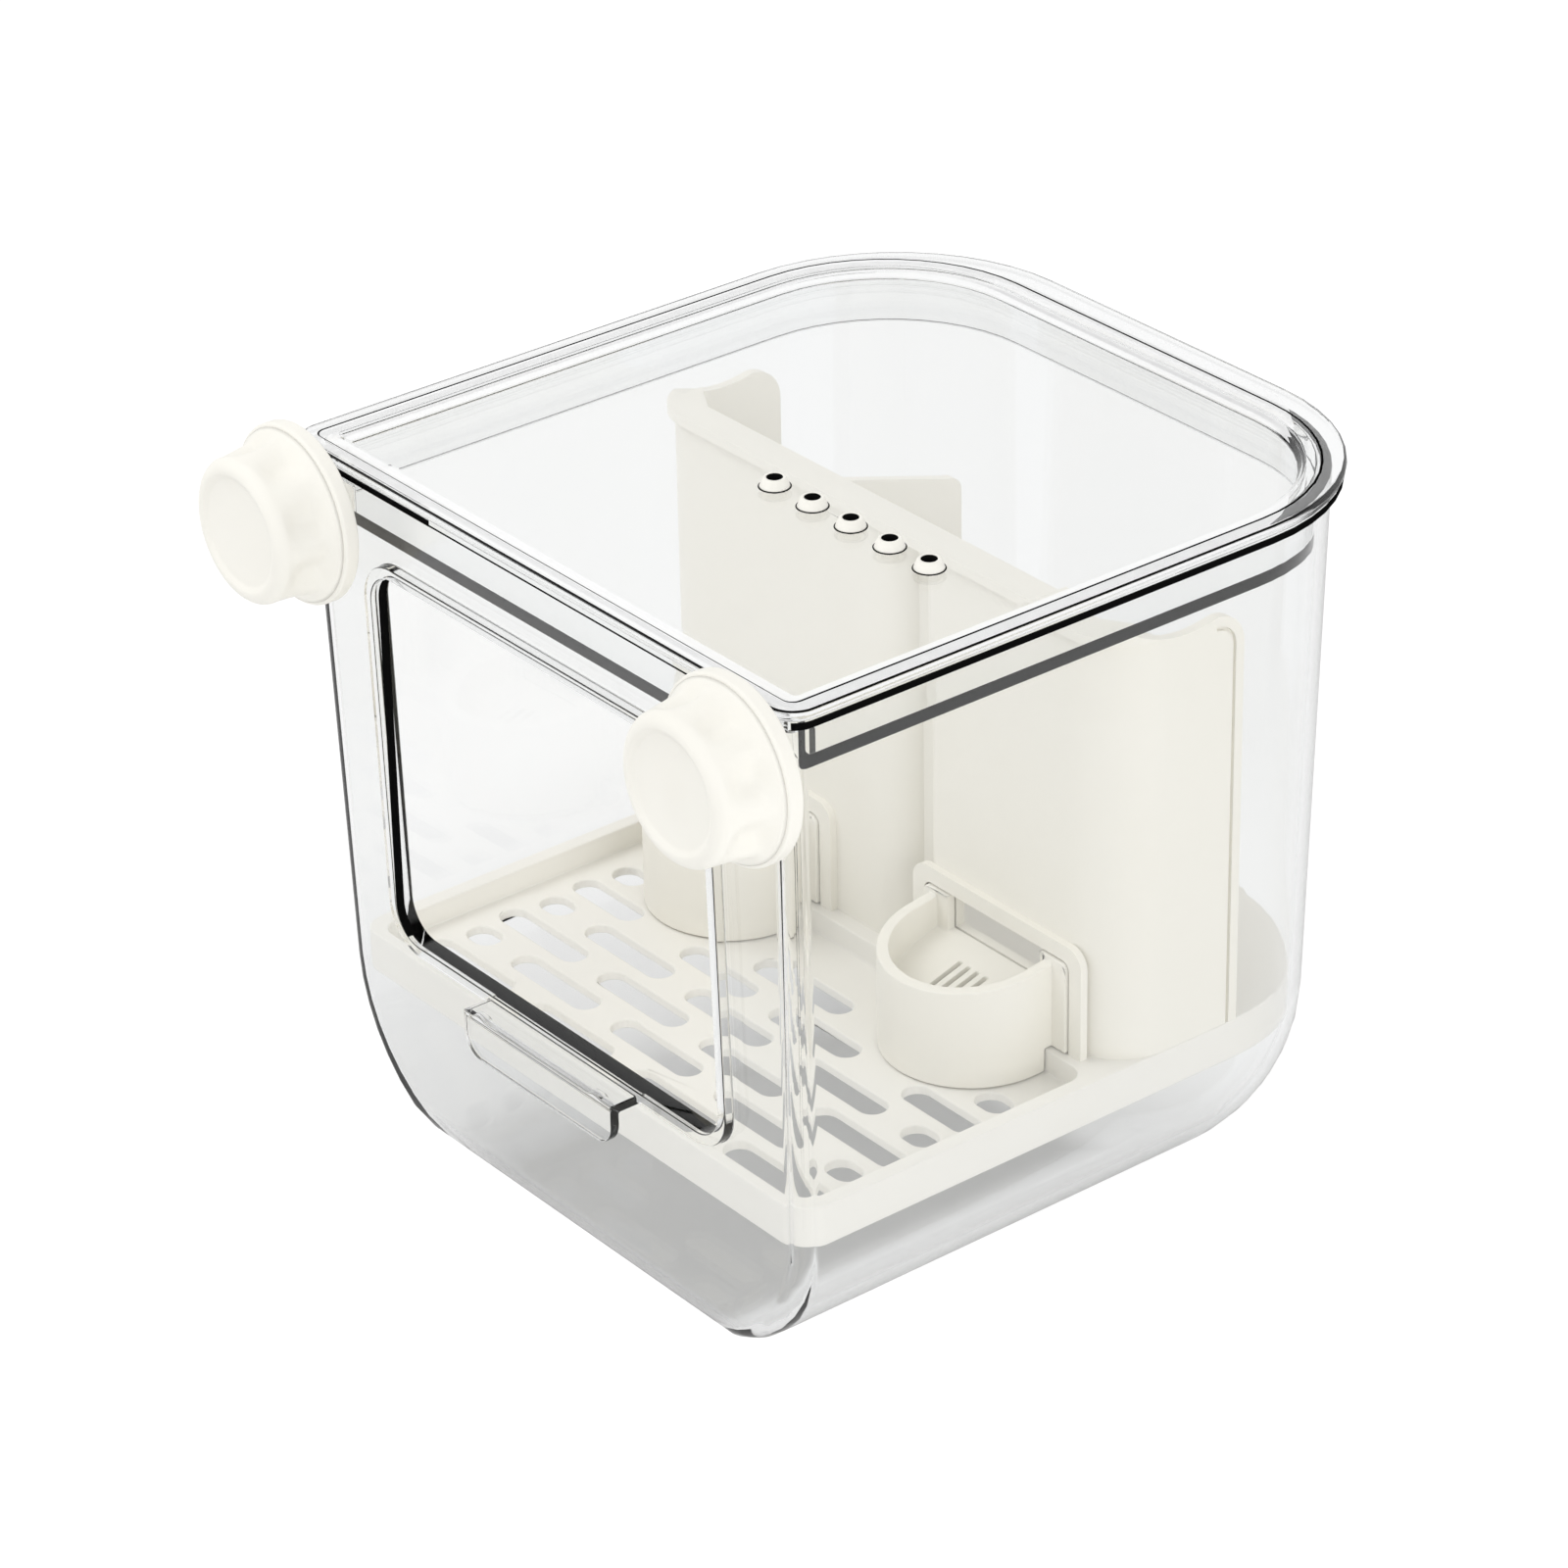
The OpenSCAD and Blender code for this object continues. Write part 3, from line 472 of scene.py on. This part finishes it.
def make_weld_tree(name, sharp_over=None):
    tree = bpy.data.node_groups.new(name, "GeometryNodeTree")
    tree.is_modifier = True
    for way in ("INPUT", "OUTPUT"):
        tree.interface.new_socket(name="Geometry", in_out=way, socket_type="NodeSocketGeometry")
    chain = [add_node(tree, "NodeGroupInput"),
             set_inputs(add_node(tree, "GeometryNodeRemoveAttribute"), Name="custom_normal"),
             set_inputs(add_node(tree, "GeometryNodeMergeByDistance"), Distance=weld_distance),
             add_node(tree, "GeometryNodeSetShadeSmooth")]
    if sharp_over:
        angle = add_node(tree, "GeometryNodeInputMeshEdgeAngle").outputs[0]
        keep = add_node(tree, "GeometryNodeSetShadeSmooth", domain="EDGE")
        feed(tree, calculate(tree, "LESS_THAN", angle, sharp_over), keep.inputs["Shade Smooth"])
        chain.append(keep)
    chain.append(add_node(tree, "NodeGroupOutput"))
    for before, after in zip(chain, chain[1:]):
        feed(tree, before.outputs[0], after.inputs[0])
    return tree


weld_tree = make_weld_tree("weld_and_smooth")
sharp_tree = make_weld_tree("weld_keep_sharp", sharp_angle)
print("welding trees:", weld_tree.name, sharp_tree.name)

# %% [markdown]
# ## Soft moulded edges
# No moulded edge is truly sharp, and in clear plastic the tiny rounding is what draws the fine dark
# and white lines. After the weld a bevel rounds every edge over 35 degrees, and weighted normals
# keep the flat faces flat beside it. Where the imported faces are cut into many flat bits, they are
# merged first, so that the bevel finds whole edges.

# %% Round the edges with modifiers
edge_radius = {"tub": 0.0003, "lid": 0.00022, "tray": 0.00035}
merged_first = tuple(edge_radius)
for side in sides:
    edge_radius.update({side + "_cup": 0.0003, side + "_stud": 0.0002, side + "_clamp_plate": 0.0002})
flat_within, rounded_over, bevel_segments = math.radians(0.8), math.radians(35), 2


def round_edges(name, radius):
    changes = node[name].modifiers
    changes.new("weld_and_smooth", "NODES").node_group = weld_tree
    if name in merged_first:
        whole = changes.new("whole_faces", "DECIMATE")
        whole.decimate_type, whole.angle_limit = "DISSOLVE", flat_within
    rounding = changes.new("rounded_edges", "BEVEL")
    rounding.width, rounding.segments = radius, bevel_segments
    rounding.limit_method, rounding.angle_limit = "ANGLE", rounded_over
    rounding.use_clamp_overlap = False
    rounding.miter_outer = "MITER_ARC"
    even = changes.new("even_normals", "WEIGHTED_NORMAL")
    even.mode, even.keep_sharp = "FACE_AREA", False


for name, radius in edge_radius.items():
    round_edges(name, radius)
node["hopper"].modifiers.new("weld_keep_sharp", "NODES").node_group = sharp_tree
print("rounded:", list(edge_radius))

# %% [markdown]
# ## Soft passages
# A moulded nut has no hard passage anywhere: each form fades into the next. One helper goes from 0
# to 1 with a soft start and a soft end, and another cuts a passage into equal shares.

# %% Passage helpers
def smooth_step(low, high, value):
    t = min(1, max(0, (value - low) / (high - low)))
    return t * t * (3 - 2 * t)


def shares(steps, first=1):
    return [step / steps for step in range(first, steps + 1)]


print("a quarter of the way up, a soft passage is at", round(smooth_step(0, 1, 0.25), 3))

# %% [markdown]
# ## The profile of a clamp nut
# Each nut is a turned knob: a bore for the stud, a thin flared skirt at its back, a slightly
# tapered wall, a rounded front edge and a shallow dish in its face. It could be cut from a cylinder
# step by step. A lathe profile, a list of radius and distance from the back, gives the whole round
# form at once, with a few named sizes.

# %% Draw the nut's profile
bore_radius, bore_share, taper = 0.00262, 0.76, 0.0009
flare_out, flare_length, flare_gap, flare_power = 0.0018, 0.0034, 0.00025, 2.2
edge_round = 0.0027
dish_radius, dish_depth, dish_slope = 0.0112, 0.0007, 0.0008
flare_steps, wall_steps, edge_steps, dish_steps = 6, 8, 8, 6


def nut_profile(back_radius, front_radius, length):
    """radius and distance from the back, from the end of the bore to the middle of the face"""
    straight, bore_end = length - edge_round, bore_share * length
    points = [(0, bore_end), (bore_radius, bore_end), (bore_radius, 0), (back_radius, -flare_gap)]
    for share in shares(flare_steps, first=0):
        points.append((back_radius + flare_out * (1 - share) ** flare_power,
                       -flare_gap + (flare_length + flare_gap) * share))
    for share in shares(wall_steps):
        points.append((back_radius + (front_radius - back_radius) * share,
                       flare_length + (straight - flare_length) * share))
    for share in shares(edge_steps):
        angle = math.pi / 2 * share
        points.append((front_radius - edge_round * (1 - math.cos(angle)),
                       straight + edge_round * math.sin(angle)))
    for share in shares(dish_steps):
        points.append((dish_radius + dish_slope * (1 - 2 * share),
                       length - dish_depth * smooth_step(0, 1, share)))
    return points + [(dish_radius / 2, length - dish_depth), (0, length - dish_depth)]


knob_low, knob_high = (Vector(corner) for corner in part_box("left_knob"))
knob_radius, knob_length = (knob_high.x - knob_low.x) / 2, knob_high.y - knob_low.y
profile = nut_profile(knob_radius, knob_radius - taper, knob_length)
print("nut profile:", len(profile), "points, radius %.4f, length %.4f" % (knob_radius, knob_length))

# %% [markdown]
# ## Helpers for new meshes
# Blender's own editing tools act on what is selected, and a step is easily lost. The pieces below
# are built as lists of points and faces instead, which give the same mesh each time. These helpers
# join rings of points with faces, make the mesh, and weld and smooth it.

# %% Mesh helpers
def ring_faces(rings, around, start=0, closed=False):
    """faces between rings of points, each ring listed after the one before"""
    faces = []
    for ring in range(rings if closed else rings - 1):
        here, there = start + ring * around, start + (ring + 1) % rings * around
        faces += [(here + k, here + (k + 1) % around, there + (k + 1) % around, there + k)
                  for k in range(around)]
    return faces


def new_mesh(name, verts, faces, material):
    mesh = bpy.data.meshes.new(name)
    mesh.from_pydata(verts, [], faces)
    mesh.materials.append(material)
    return mesh


def close_and_smooth(mesh, same_point=1e-6):
    """weld points that coincide, turn every face outward and shade it smooth"""
    shape = bmesh.new()
    shape.from_mesh(mesh)
    bmesh.ops.remove_doubles(shape, verts=shape.verts, dist=same_point)
    bmesh.ops.recalc_face_normals(shape, faces=shape.faces)
    shape.to_mesh(mesh)
    shape.free()
    mesh.polygons.foreach_set("use_smooth", [True] * len(mesh.polygons))


print("made ring_faces, new_mesh and close_and_smooth")

# %% [markdown]
# ## Pieces that ride on a body
# A new piece has to move with what it belongs to: a nut turns, and the lid's lines lift off with
# the lid. This helper hangs a mesh on a body of the imported model.

# %% Hanging helper
def hang_piece(mesh, body):
    """one visible piece of the mesh's name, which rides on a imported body"""
    piece = bpy.data.objects.new(mesh.name, mesh)
    bpy.context.scene.collection.objects.link(piece)
    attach(piece, body)
    print(piece.name, "rides", body, "with", len(mesh.polygons), "faces")
    return piece


print("made hang_piece")

# %% [markdown]
# ## The clamp nuts
# Eight soft hollows give the fingers a grip and fade out towards the skirt and the front edge.
# Cutting them would leave hard lines, so each ring of the turned form is pulled inward by a cosine
# of its angle instead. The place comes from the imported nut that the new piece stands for.

# %% Build the nuts
hollows, hollow_depth, hollow_power, points_around = 8, 0.0021, 1.1, 160
fade_length, fade_starts, fade_ends = knob_length - 0.4 * edge_round, 0.5, 0.95
full_from, outer_wall = 1.1 * flare_length, 0.8 * knob_radius


def hollow_at(reach):
    """how deep the hollows are at a distance from the back"""
    fade = 1 - smooth_step(fade_starts, fade_ends, reach / fade_length)
    return hollow_depth * fade * smooth_step(0, full_from, reach)


def build_nut(side):
    low, high = (Vector(corner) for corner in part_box(side + "_knob"))
    middle = (low + high) / 2
    verts = []
    for radius, reach in profile:
        depth = hollow_at(reach) if radius > outer_wall else 0
        for k in range(points_around):
            angle = 2 * math.pi * k / points_around
            pulled = radius - depth * (0.5 - 0.5 * math.cos(hollows * angle)) ** hollow_power
            verts.append((middle.x + pulled * math.cos(angle), high.y - reach,
                          middle.z + pulled * math.sin(angle)))
    mesh = new_mesh(side + "_nut", verts, ring_faces(len(profile), points_around), off_white)
    close_and_smooth(mesh)
    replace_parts(hang_piece(mesh, side + "_knob"), side + "_knob")


for side in sides:
    build_nut(side)

# %% [markdown]
# ## A fine speckle
# No real edge is evenly dull: where it turns dark, it still has a fine speckle of smoother and
# rougher spots. The painted dark finishes below share it, so it is a node group that turns fine
# noise into a roughness between two named ends.

# %% The speckle group
speckle_inputs = {name: "NodeSocketFloat" for name in ("Scale", "Smoothest", "Roughest")}
speckle_scale, dark_smoothest, dark_roughest = 900.0, 0.45, 0.6


def make_speckle_group():
    group, inside, outside = new_group("fine_speckle", speckle_inputs, {"Roughness": "NodeSocketFloat"})
    spots, rough = add_node(group, "ShaderNodeTexNoise"), add_node(group, "ShaderNodeMapRange")
    feed(group, inside.outputs["Scale"], spots.inputs["Scale"])
    feed(group, spots.outputs["Fac"], rough.inputs["Value"])
    feed(group, inside.outputs["Smoothest"], rough.inputs["To Min"])
    feed(group, inside.outputs["Roughest"], rough.inputs["To Max"])
    feed(group, rough.outputs["Result"], outside.inputs["Roughness"])
    return group


speckle_group = make_speckle_group()
print("speckle group:", list(speckle_inputs), "-> Roughness")

# %% [markdown]
# ## A painted dark seen from one side
# Light that enters thick clear plastic near an edge is bent away from the eye, so the edge looks
# black although nothing there is. A renderer would need far more rays and an exact mould to find
# every such line, so thin strips of painted dark show them. Their inner side is left transparent: a
# strip then shows only where the real edge looks dark, and never from behind.

# %% Build the one-sided painted dark
dark_ior = 1.3


def painted_dark_finish(name, grey):
    material, tree = new_material(name)
    speckle = add_node(tree, "ShaderNodeGroup", node_tree=speckle_group)
    set_inputs(speckle, Scale=speckle_scale, Smoothest=dark_smoothest, Roughest=dark_roughest)
    dark = add_node(tree, "ShaderNodeBsdfPrincipled")
    set_inputs(dark, Base_Color=grey_of(grey), IOR=dark_ior, Specular_IOR_Level=0.0)
    seen_from_behind = add_node(tree, "ShaderNodeNewGeometry").outputs["Backfacing"]
    feed(tree, speckle.outputs["Roughness"], dark.inputs["Roughness"])
    feed(tree, calculate(tree, "SUBTRACT", 1.0, seen_from_behind), dark.inputs["Alpha"])
    show(tree, dark.outputs[0])
    return material


# painted dark for the vent bores, the clear edges and the skirt's foot, which only look black
bore_painted_dark = painted_dark_finish("vent_bore_painted_dark", 0.006)
edge_painted_dark = painted_dark_finish("clear_edge_painted_dark", 0.004)
skirt_painted_dark = painted_dark_finish("skirt_painted_dark_line", 0.008)
print("dark finishes:", [made.name for made in (bore_painted_dark, edge_painted_dark, skirt_painted_dark)])

# %% [markdown]
# ## Where the vents are
# Five small cones stand in a row on the lid's sunk panel, each with an open hole that lets moist
# air out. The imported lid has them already, so only their looks are added. Their sizes are those of
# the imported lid, and their places are worked out from its box rather than typed in.

# %% Find the vents
lid_low_corner, lid_high_corner = (Vector(corner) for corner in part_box("lid"))
vent_count, vent_pitch, vent_row_x, vent_row_inset = 5, 0.0112, 0.022, 0.058
vent_radius, vent_height, panel_drop = 0.0016, 0.0019, 0.0022
vent_y, panel_top = lid_low_corner.y + vent_row_inset, lid_high_corner.z - panel_drop
vent_top = panel_top + vent_height
vent_middles = [(vent_row_x + (k - (vent_count - 1) / 2) * vent_pitch, vent_y)
                for k in range(vent_count)]


def turned(name, profile, material, around=48):
    """one piece of small turned rings, with a closed profile of radius and height at each vent"""
    verts, faces = [], []
    for x, y in vent_middles:
        faces += ring_faces(len(profile), around, start=len(verts), closed=True)
        for radius, z in profile:
            verts += [(x + radius * math.cos(2 * math.pi * k / around),
                       y + radius * math.sin(2 * math.pi * k / around), z) for k in range(around)]
    mesh = new_mesh(name, verts, faces, material)
    close_and_smooth(mesh)
    hang_piece(mesh, "lid")


print("vents:", vent_count, "at y", round(vent_y, 4), "z", round(vent_top, 4))

# %% [markdown]
# ## The vent holes
# Each bore looks black from the side although the hole is open, its cone looks white, because
# its steep wall mirrors the bright sky, and a thin dark line shows where the cone meets the panel.
# A lining of painted dark, a thin collar of painted sky reflection and a low ring of painted dark
# show these three, and leave the hole open.

# %% Dress the vents
hair, bore_depth, lining = 0.00003, 0.0011, 0.00012
bore_outer, bore_low = vent_radius - hair, panel_top - bore_depth
bore_profile = [(bore_outer, vent_top), (bore_outer, bore_low),
                (bore_outer - lining, bore_low), (bore_outer - lining, vent_top)]
# painted dark: a lining for the black look of the open bore
turned("vent_painted_dark_bores", bore_profile, bore_painted_dark)

lip_radius, lip_thickness, lip_drop = 0.00205, 0.00005, 0.0001
shoulder_radius, slope_radius, slope_rise = 0.00224, 0.00288, 0.0003
collar_foot, foot_width, collar_skin = 0.0030, 0.00008, 0.00004
collar_top, collar_low = vent_top + lip_thickness, panel_top + collar_skin
# painted reflection: a white collar where the cone's steep wall mirrors the bright sky
reflection_collar_profile = [(vent_radius, vent_top), (vent_radius, collar_top), (lip_radius, collar_top),
                  (shoulder_radius, vent_top - lip_drop), (slope_radius, panel_top + slope_rise),
                  (collar_foot, collar_low), (collar_foot - foot_width, collar_low),
                  (shoulder_radius - collar_skin, vent_top - lip_drop - lip_thickness)]
turned("vent_painted_reflection_collars", reflection_collar_profile, off_white)

foot_inner, foot_crest, foot_outer = 0.00296, 0.00302, 0.0032
foot_low, crest_rise, outer_rise = panel_top + 0.00002, 0.0002, 0.00006
foot_profile = [(foot_inner, foot_low), (foot_crest, panel_top + crest_rise),
                (foot_outer, panel_top + outer_rise), (foot_outer, foot_low)]
# painted dark: a low ring where the cone meets the panel
turned("vent_foot_painted_dark_lines", foot_profile, bore_painted_dark)

# %% [markdown]
# ## The lid's outline
# The lid's painted dark lines run round its plan, which has small corners at the front and large
# ones at the rear. Edges could be picked from the imported mesh, but they change whenever it is
# built again, so the plan is drawn from the lid's box and its corner sizes, at any distance inward
# from the edge.

# %% Outline helpers
lid_front_turn, lid_rear_turn, least_turn, turn_steps = 0.0057, 0.042, 0.001, 12


def rounded_plan(half, front, rear, front_turn, rear_turn, steps=turn_steps):
    """a plan with four rounded corners, against the clock from the right front one"""
    points = []
    for x, y, turn, start in ((half - front_turn, front + front_turn, front_turn, -90),
                              (half - rear_turn, rear - rear_turn, rear_turn, 0),
                              (rear_turn - half, rear - rear_turn, rear_turn, 90),
                              (front_turn - half, front + front_turn, front_turn, 180)):
        angles = [math.radians(start + 90 * k / steps) for k in range(steps + 1)]
        points += [(x + turn * math.cos(angle), y + turn * math.sin(angle)) for angle in angles]
    return points


def lid_outline(inward, rear_inward=None, front_inward=None):
    """the lid's plan, moved inward by one distance, or by others at the rear and front"""
    rear_inward = inward if rear_inward is None else rear_inward
    front_inward = inward if front_inward is None else front_inward
    return rounded_plan(lid_high_corner.x - inward, lid_low_corner.y + front_inward,
                        lid_high_corner.y - rear_inward, max(least_turn, lid_front_turn - front_inward),
                        lid_rear_turn - rear_inward)


print("the lid's plan has", len(lid_outline(0)), "points")

# %% [markdown]
# ## Strips between two outlines
# A line is a narrow strip of faces between two outlines, or one that stands upright on a single
# run of points. A curve with a thickness would be round and look the same from all sides, and these
# lines must be seen from one side only. Several strips make up one piece.

# %% Strip helpers
def strip(lower, upper, low, high, closed=True):
    """a strip of faces that looks outward, between two outlines of equal count"""
    count = len(lower)
    verts = [(x, y, low) for x, y in lower] + [(x, y, high) for x, y in upper]
    faces = [(k, (k + 1) % count, count + (k + 1) % count, count + k)
             for k in range(count if closed else count - 1)]
    return verts, faces


def upright(run, low, high):
    """an open strip that stands on a run of points"""
    return strip(run, run, low, high, closed=False)


def line_piece(name, strips, material, body):
    verts, faces = [], []
    for strip_verts, strip_faces in strips:
        faces += [tuple(len(verts) + k for k in face) for face in strip_faces]
        verts += strip_verts
    hang_piece(new_mesh(name, verts, faces, material), body)


print("made strip, upright and line_piece")

# %% [markdown]
# ## The painted dark lines of the lid
# Four lines of painted dark ride on the lid: one for the shade under its overhang at the sides and
# rear, and, where bending light makes the clear plastic look black, a thick one at the left of its
# front edge, one where the step down to the sunk panel shows through the border, and one along its
# top edge. They lie close to the clear surface, so that little plastic bends them away.

# %% Draw the lid's lines
lid_t, line_gap = 0.0023, 0.0001
lid_over, lid_under = lid_high_corner.z, lid_high_corner.z - lid_t

under_inset, under_drop, sides_and_rear = 0.0004, 0.0016, slice(6, 46)
under_run = lid_outline(under_inset)[sides_and_rear]
under_line = upright(under_run, lid_under - under_drop, lid_under - line_gap)

thick_from, thick_to, thick_inset, thick_drop = -0.066, -0.031, 0.00055, 0.0013
thick_run = [(x, lid_low_corner.y + thick_inset) for x in (thick_from, thick_to)]
thick_line = upright(thick_run, lid_under - thick_drop, lid_under + line_gap)

step_outer = lid_outline(0.0034, rear_inward=0.0066, front_inward=0.0033)
step_inner = lid_outline(0.0039, rear_inward=0.0071, front_inward=0.0035)
step_line = strip(step_outer, step_inner, lid_over + 0.00002, lid_over + 0.00003)

edge_outer, edge_inner, edge_drop = lid_outline(0.0003), lid_outline(0.00062), 0.0004
edge_line = strip(edge_outer, edge_inner, lid_over - edge_drop, lid_over - line_gap)
# painted shade and painted dark: the lid's clear edges only look black there
line_piece("lid_painted_dark_lines", [under_line, thick_line, step_line, edge_line], edge_painted_dark, "lid")

# %% [markdown]
# ## The painted dark line of the rim
# The tub's rim shows one thin dark line, between the two nuts, just under the lid, and a strip of
# painted dark stands for it. It stays with the tub when the lid is lifted, so it is a piece by itself.

# %% Draw the rim's line
rim_from, rim_to, rim_y = -0.052, 0.066, -0.07553
rim_low, rim_high = 0.1444, 0.14482
rim_run = [(rim_from, rim_y), (rim_to, rim_y)]
# painted dark: the clear rim only looks black along this line
line_piece("rim_painted_dark_line", [upright(rim_run, rim_low, rim_high)], edge_painted_dark, "tub")

# %% [markdown]
# ## The painted light of the lid's border
# Seen from above, the border looks pale at the front and sides: the rim and the skirt below it
# guide light up into it. Frosting the clear plastic itself would dull the whole lid and take far
# longer to render, so a pale ring under the border, cloudy and seen from above only, is painted
# light that stands for that guided light.

# %% Build the border's painted light
painted_light_least, painted_light_most, painted_light_grey, painted_light_roughness, cloud_scale = 0.72, 0.88, 0.95, 0.8, 40.0


def painted_light_finish(name):
    material, tree = new_material(name)
    cloud = set_inputs(add_node(tree, "ShaderNodeTexNoise"), Scale=cloud_scale, Detail=2.0)
    share = set_inputs(add_node(tree, "ShaderNodeMapRange"), To_Min=painted_light_least, To_Max=painted_light_most)
    painted_light = add_node(tree, "ShaderNodeBsdfPrincipled")
    set_inputs(painted_light, Base_Color=grey_of(painted_light_grey), Roughness=painted_light_roughness, Specular_IOR_Level=0.0)
    seen_from_below = add_node(tree, "ShaderNodeNewGeometry").outputs["Backfacing"]
    feed(tree, cloud.outputs["Fac"], share.inputs["Value"])
    shown = calculate(tree, "SUBTRACT", share.outputs["Result"], seen_from_below, use_clamp=True)
    feed(tree, shown, painted_light.inputs["Alpha"])
    show(tree, painted_light.outputs[0])
    return material


border_painted_light = painted_light_finish("lid_border_painted_light")
print(border_painted_light.name, "nodes:", len(border_painted_light.node_tree.nodes))

# %% [markdown]
# ## The border's pale ring
# The ring runs along the rear, the left side, the front and the right side. The rear right corner
# stays dark in the photograph, so the ring is open there, and narrows to nothing at both ends over
# three points of the lid's outline.

# %% Lay the pale ring
ring_outer, ring_inner = lid_outline(0.0021), lid_outline(0.0069, rear_inward=0.0103)
ring_z, ring_starts, ring_ends = lid_under - line_gap, 22, 16
ring_order = [*range(ring_starts, len(ring_outer)), *range(ring_ends + 1)]
end_widths = (0.0, 0.35, 0.7)
ring_width = {ring_starts + k: width for k, width in enumerate(end_widths)}
ring_width.update({ring_ends - k: width for k, width in enumerate(end_widths)})
outer_run, inner_run = [], []
for k in ring_order:
    inner = Vector(ring_inner[k])
    outer = inner + (Vector(ring_outer[k]) - inner) * ring_width.get(k, 1.0)
    inner_run.append(tuple(inner))
    outer_run.append(tuple(outer))
# painted light: a pale ring under the border for light guided up into it
line_piece("lid_border_painted_light_ring", [strip(outer_run, inner_run, ring_z, ring_z, closed=False)],
           border_painted_light, "lid")

# %% [markdown]
# ## The painted dark line in the opening's edge
# The cut face at the left of the opening looks black in the photograph, and the clear finish alone
# shows it pale grey. One strip of painted dark follows that face between the wall's two sides: over
# part of the rounded lower corner, up the straight edge, and into the upper corner.

# %% Draw the opening's line
opening_half, opening_low, opening_high, opening_turn = 0.0506, 0.0485, 0.1291, 0.007
wall_outer, wall_inner, off_face = -0.0752, -0.0733, 0.00003
low_angles = [math.radians(10 * k) for k in range(6, -1, -1)]
high_angles = [math.radians(8 * k) for k in range(6)]


def corner_inset(angle):
    return opening_turn * (1 - math.cos(angle))


def corner_rise(angle):
    return opening_turn * (1 - math.sin(angle))


edge_points = [(corner_inset(angle), opening_low + corner_rise(angle)) for angle in low_angles]
edge_points += [(corner_inset(angle), opening_high - corner_rise(angle)) for angle in high_angles]
verts = [(off_face - opening_half + inset, y, z) for inset, z in edge_points
         for y in (wall_outer, wall_inner)]
faces = [(2 * k, 2 * k + 1, 2 * k + 3, 2 * k + 2) for k in range(len(edge_points) - 1)]
line_piece("opening_painted_dark_line", [(verts, faces)], edge_painted_dark, "tub")

# %% [markdown]
# ## The corners of the skirt's painted dark line
# The clear foot of the lid's skirt looks black, and a painted dark line stands for it; it turns
# upward at both front corners, in the shape of an L. Two crossing strips would leave a hard corner,
# so each L is one flat face with a rounded outer turn and a rounded inner turn.

# %% Shape a corner of the skirt's line
skirt_half, skirt_front, skirt_rear = 0.07087, -0.07262, 0.07267
skirt_low, line_high, corner_y = 0.1345, 0.0026, -0.0709
upright_wide, upright_high, corner_turn = 0.0011, 0.0096, 0.0012
inner_y, inner_z = corner_y + upright_wide + corner_turn, skirt_low + line_high + corner_turn


def skirt_corner(side):
    """the L at a front corner, on the right for side 1 and on the left for side -1"""
    quarter = [math.radians(15 * k) for k in range(7)]
    turn = [(corner_turn * math.sin(angle), corner_turn * math.cos(angle)) for angle in quarter]
    outer = [(corner_y + corner_turn - sine, skirt_low + corner_turn - cosine) for sine, cosine in turn]
    inner = [(inner_y - cosine, inner_z - sine) for sine, cosine in turn]
    top = skirt_low + upright_high
    loop = outer + [(corner_y, top), (corner_y + upright_wide, top)] + inner + [(inner_y, skirt_low)]
    order = tuple(range(len(loop)))
    return [(side * skirt_half, y, z) for y, z in loop], [order if side < 0 else order[::-1]]


print("a corner has", len(skirt_corner(1)[0]), "points")

# %% [markdown]
# ## The painted dark line at the foot of the skirt
# Between the corners the line follows the skirt's plan round the sides and the rear, and a straight
# run shows it at the front. It is a shade lighter than the other lines, so it is a piece by itself.

# %% Draw the skirt's line
skirt_front_turn, skirt_rear_turn, skirt_steps, front_half = 0.001, 0.0354, 16, 0.060
front_corner_points = skirt_steps + 1
side_run = rounded_plan(skirt_half, skirt_front, skirt_rear, skirt_front_turn, skirt_rear_turn,
                        skirt_steps)[front_corner_points:-front_corner_points]
side_run = [(skirt_half, inner_y), *side_run, (-skirt_half, inner_y)]
front_run = [(-front_half, skirt_front), (front_half, skirt_front)]
# painted dark: the black look of the skirt's clear foot
line_piece("skirt_painted_dark_line", [upright(side_run, skirt_low, skirt_low + line_high),
                          upright(front_run, skirt_low, skirt_low + line_high),
                          skirt_corner(1), skirt_corner(-1)], skirt_painted_dark, "lid")
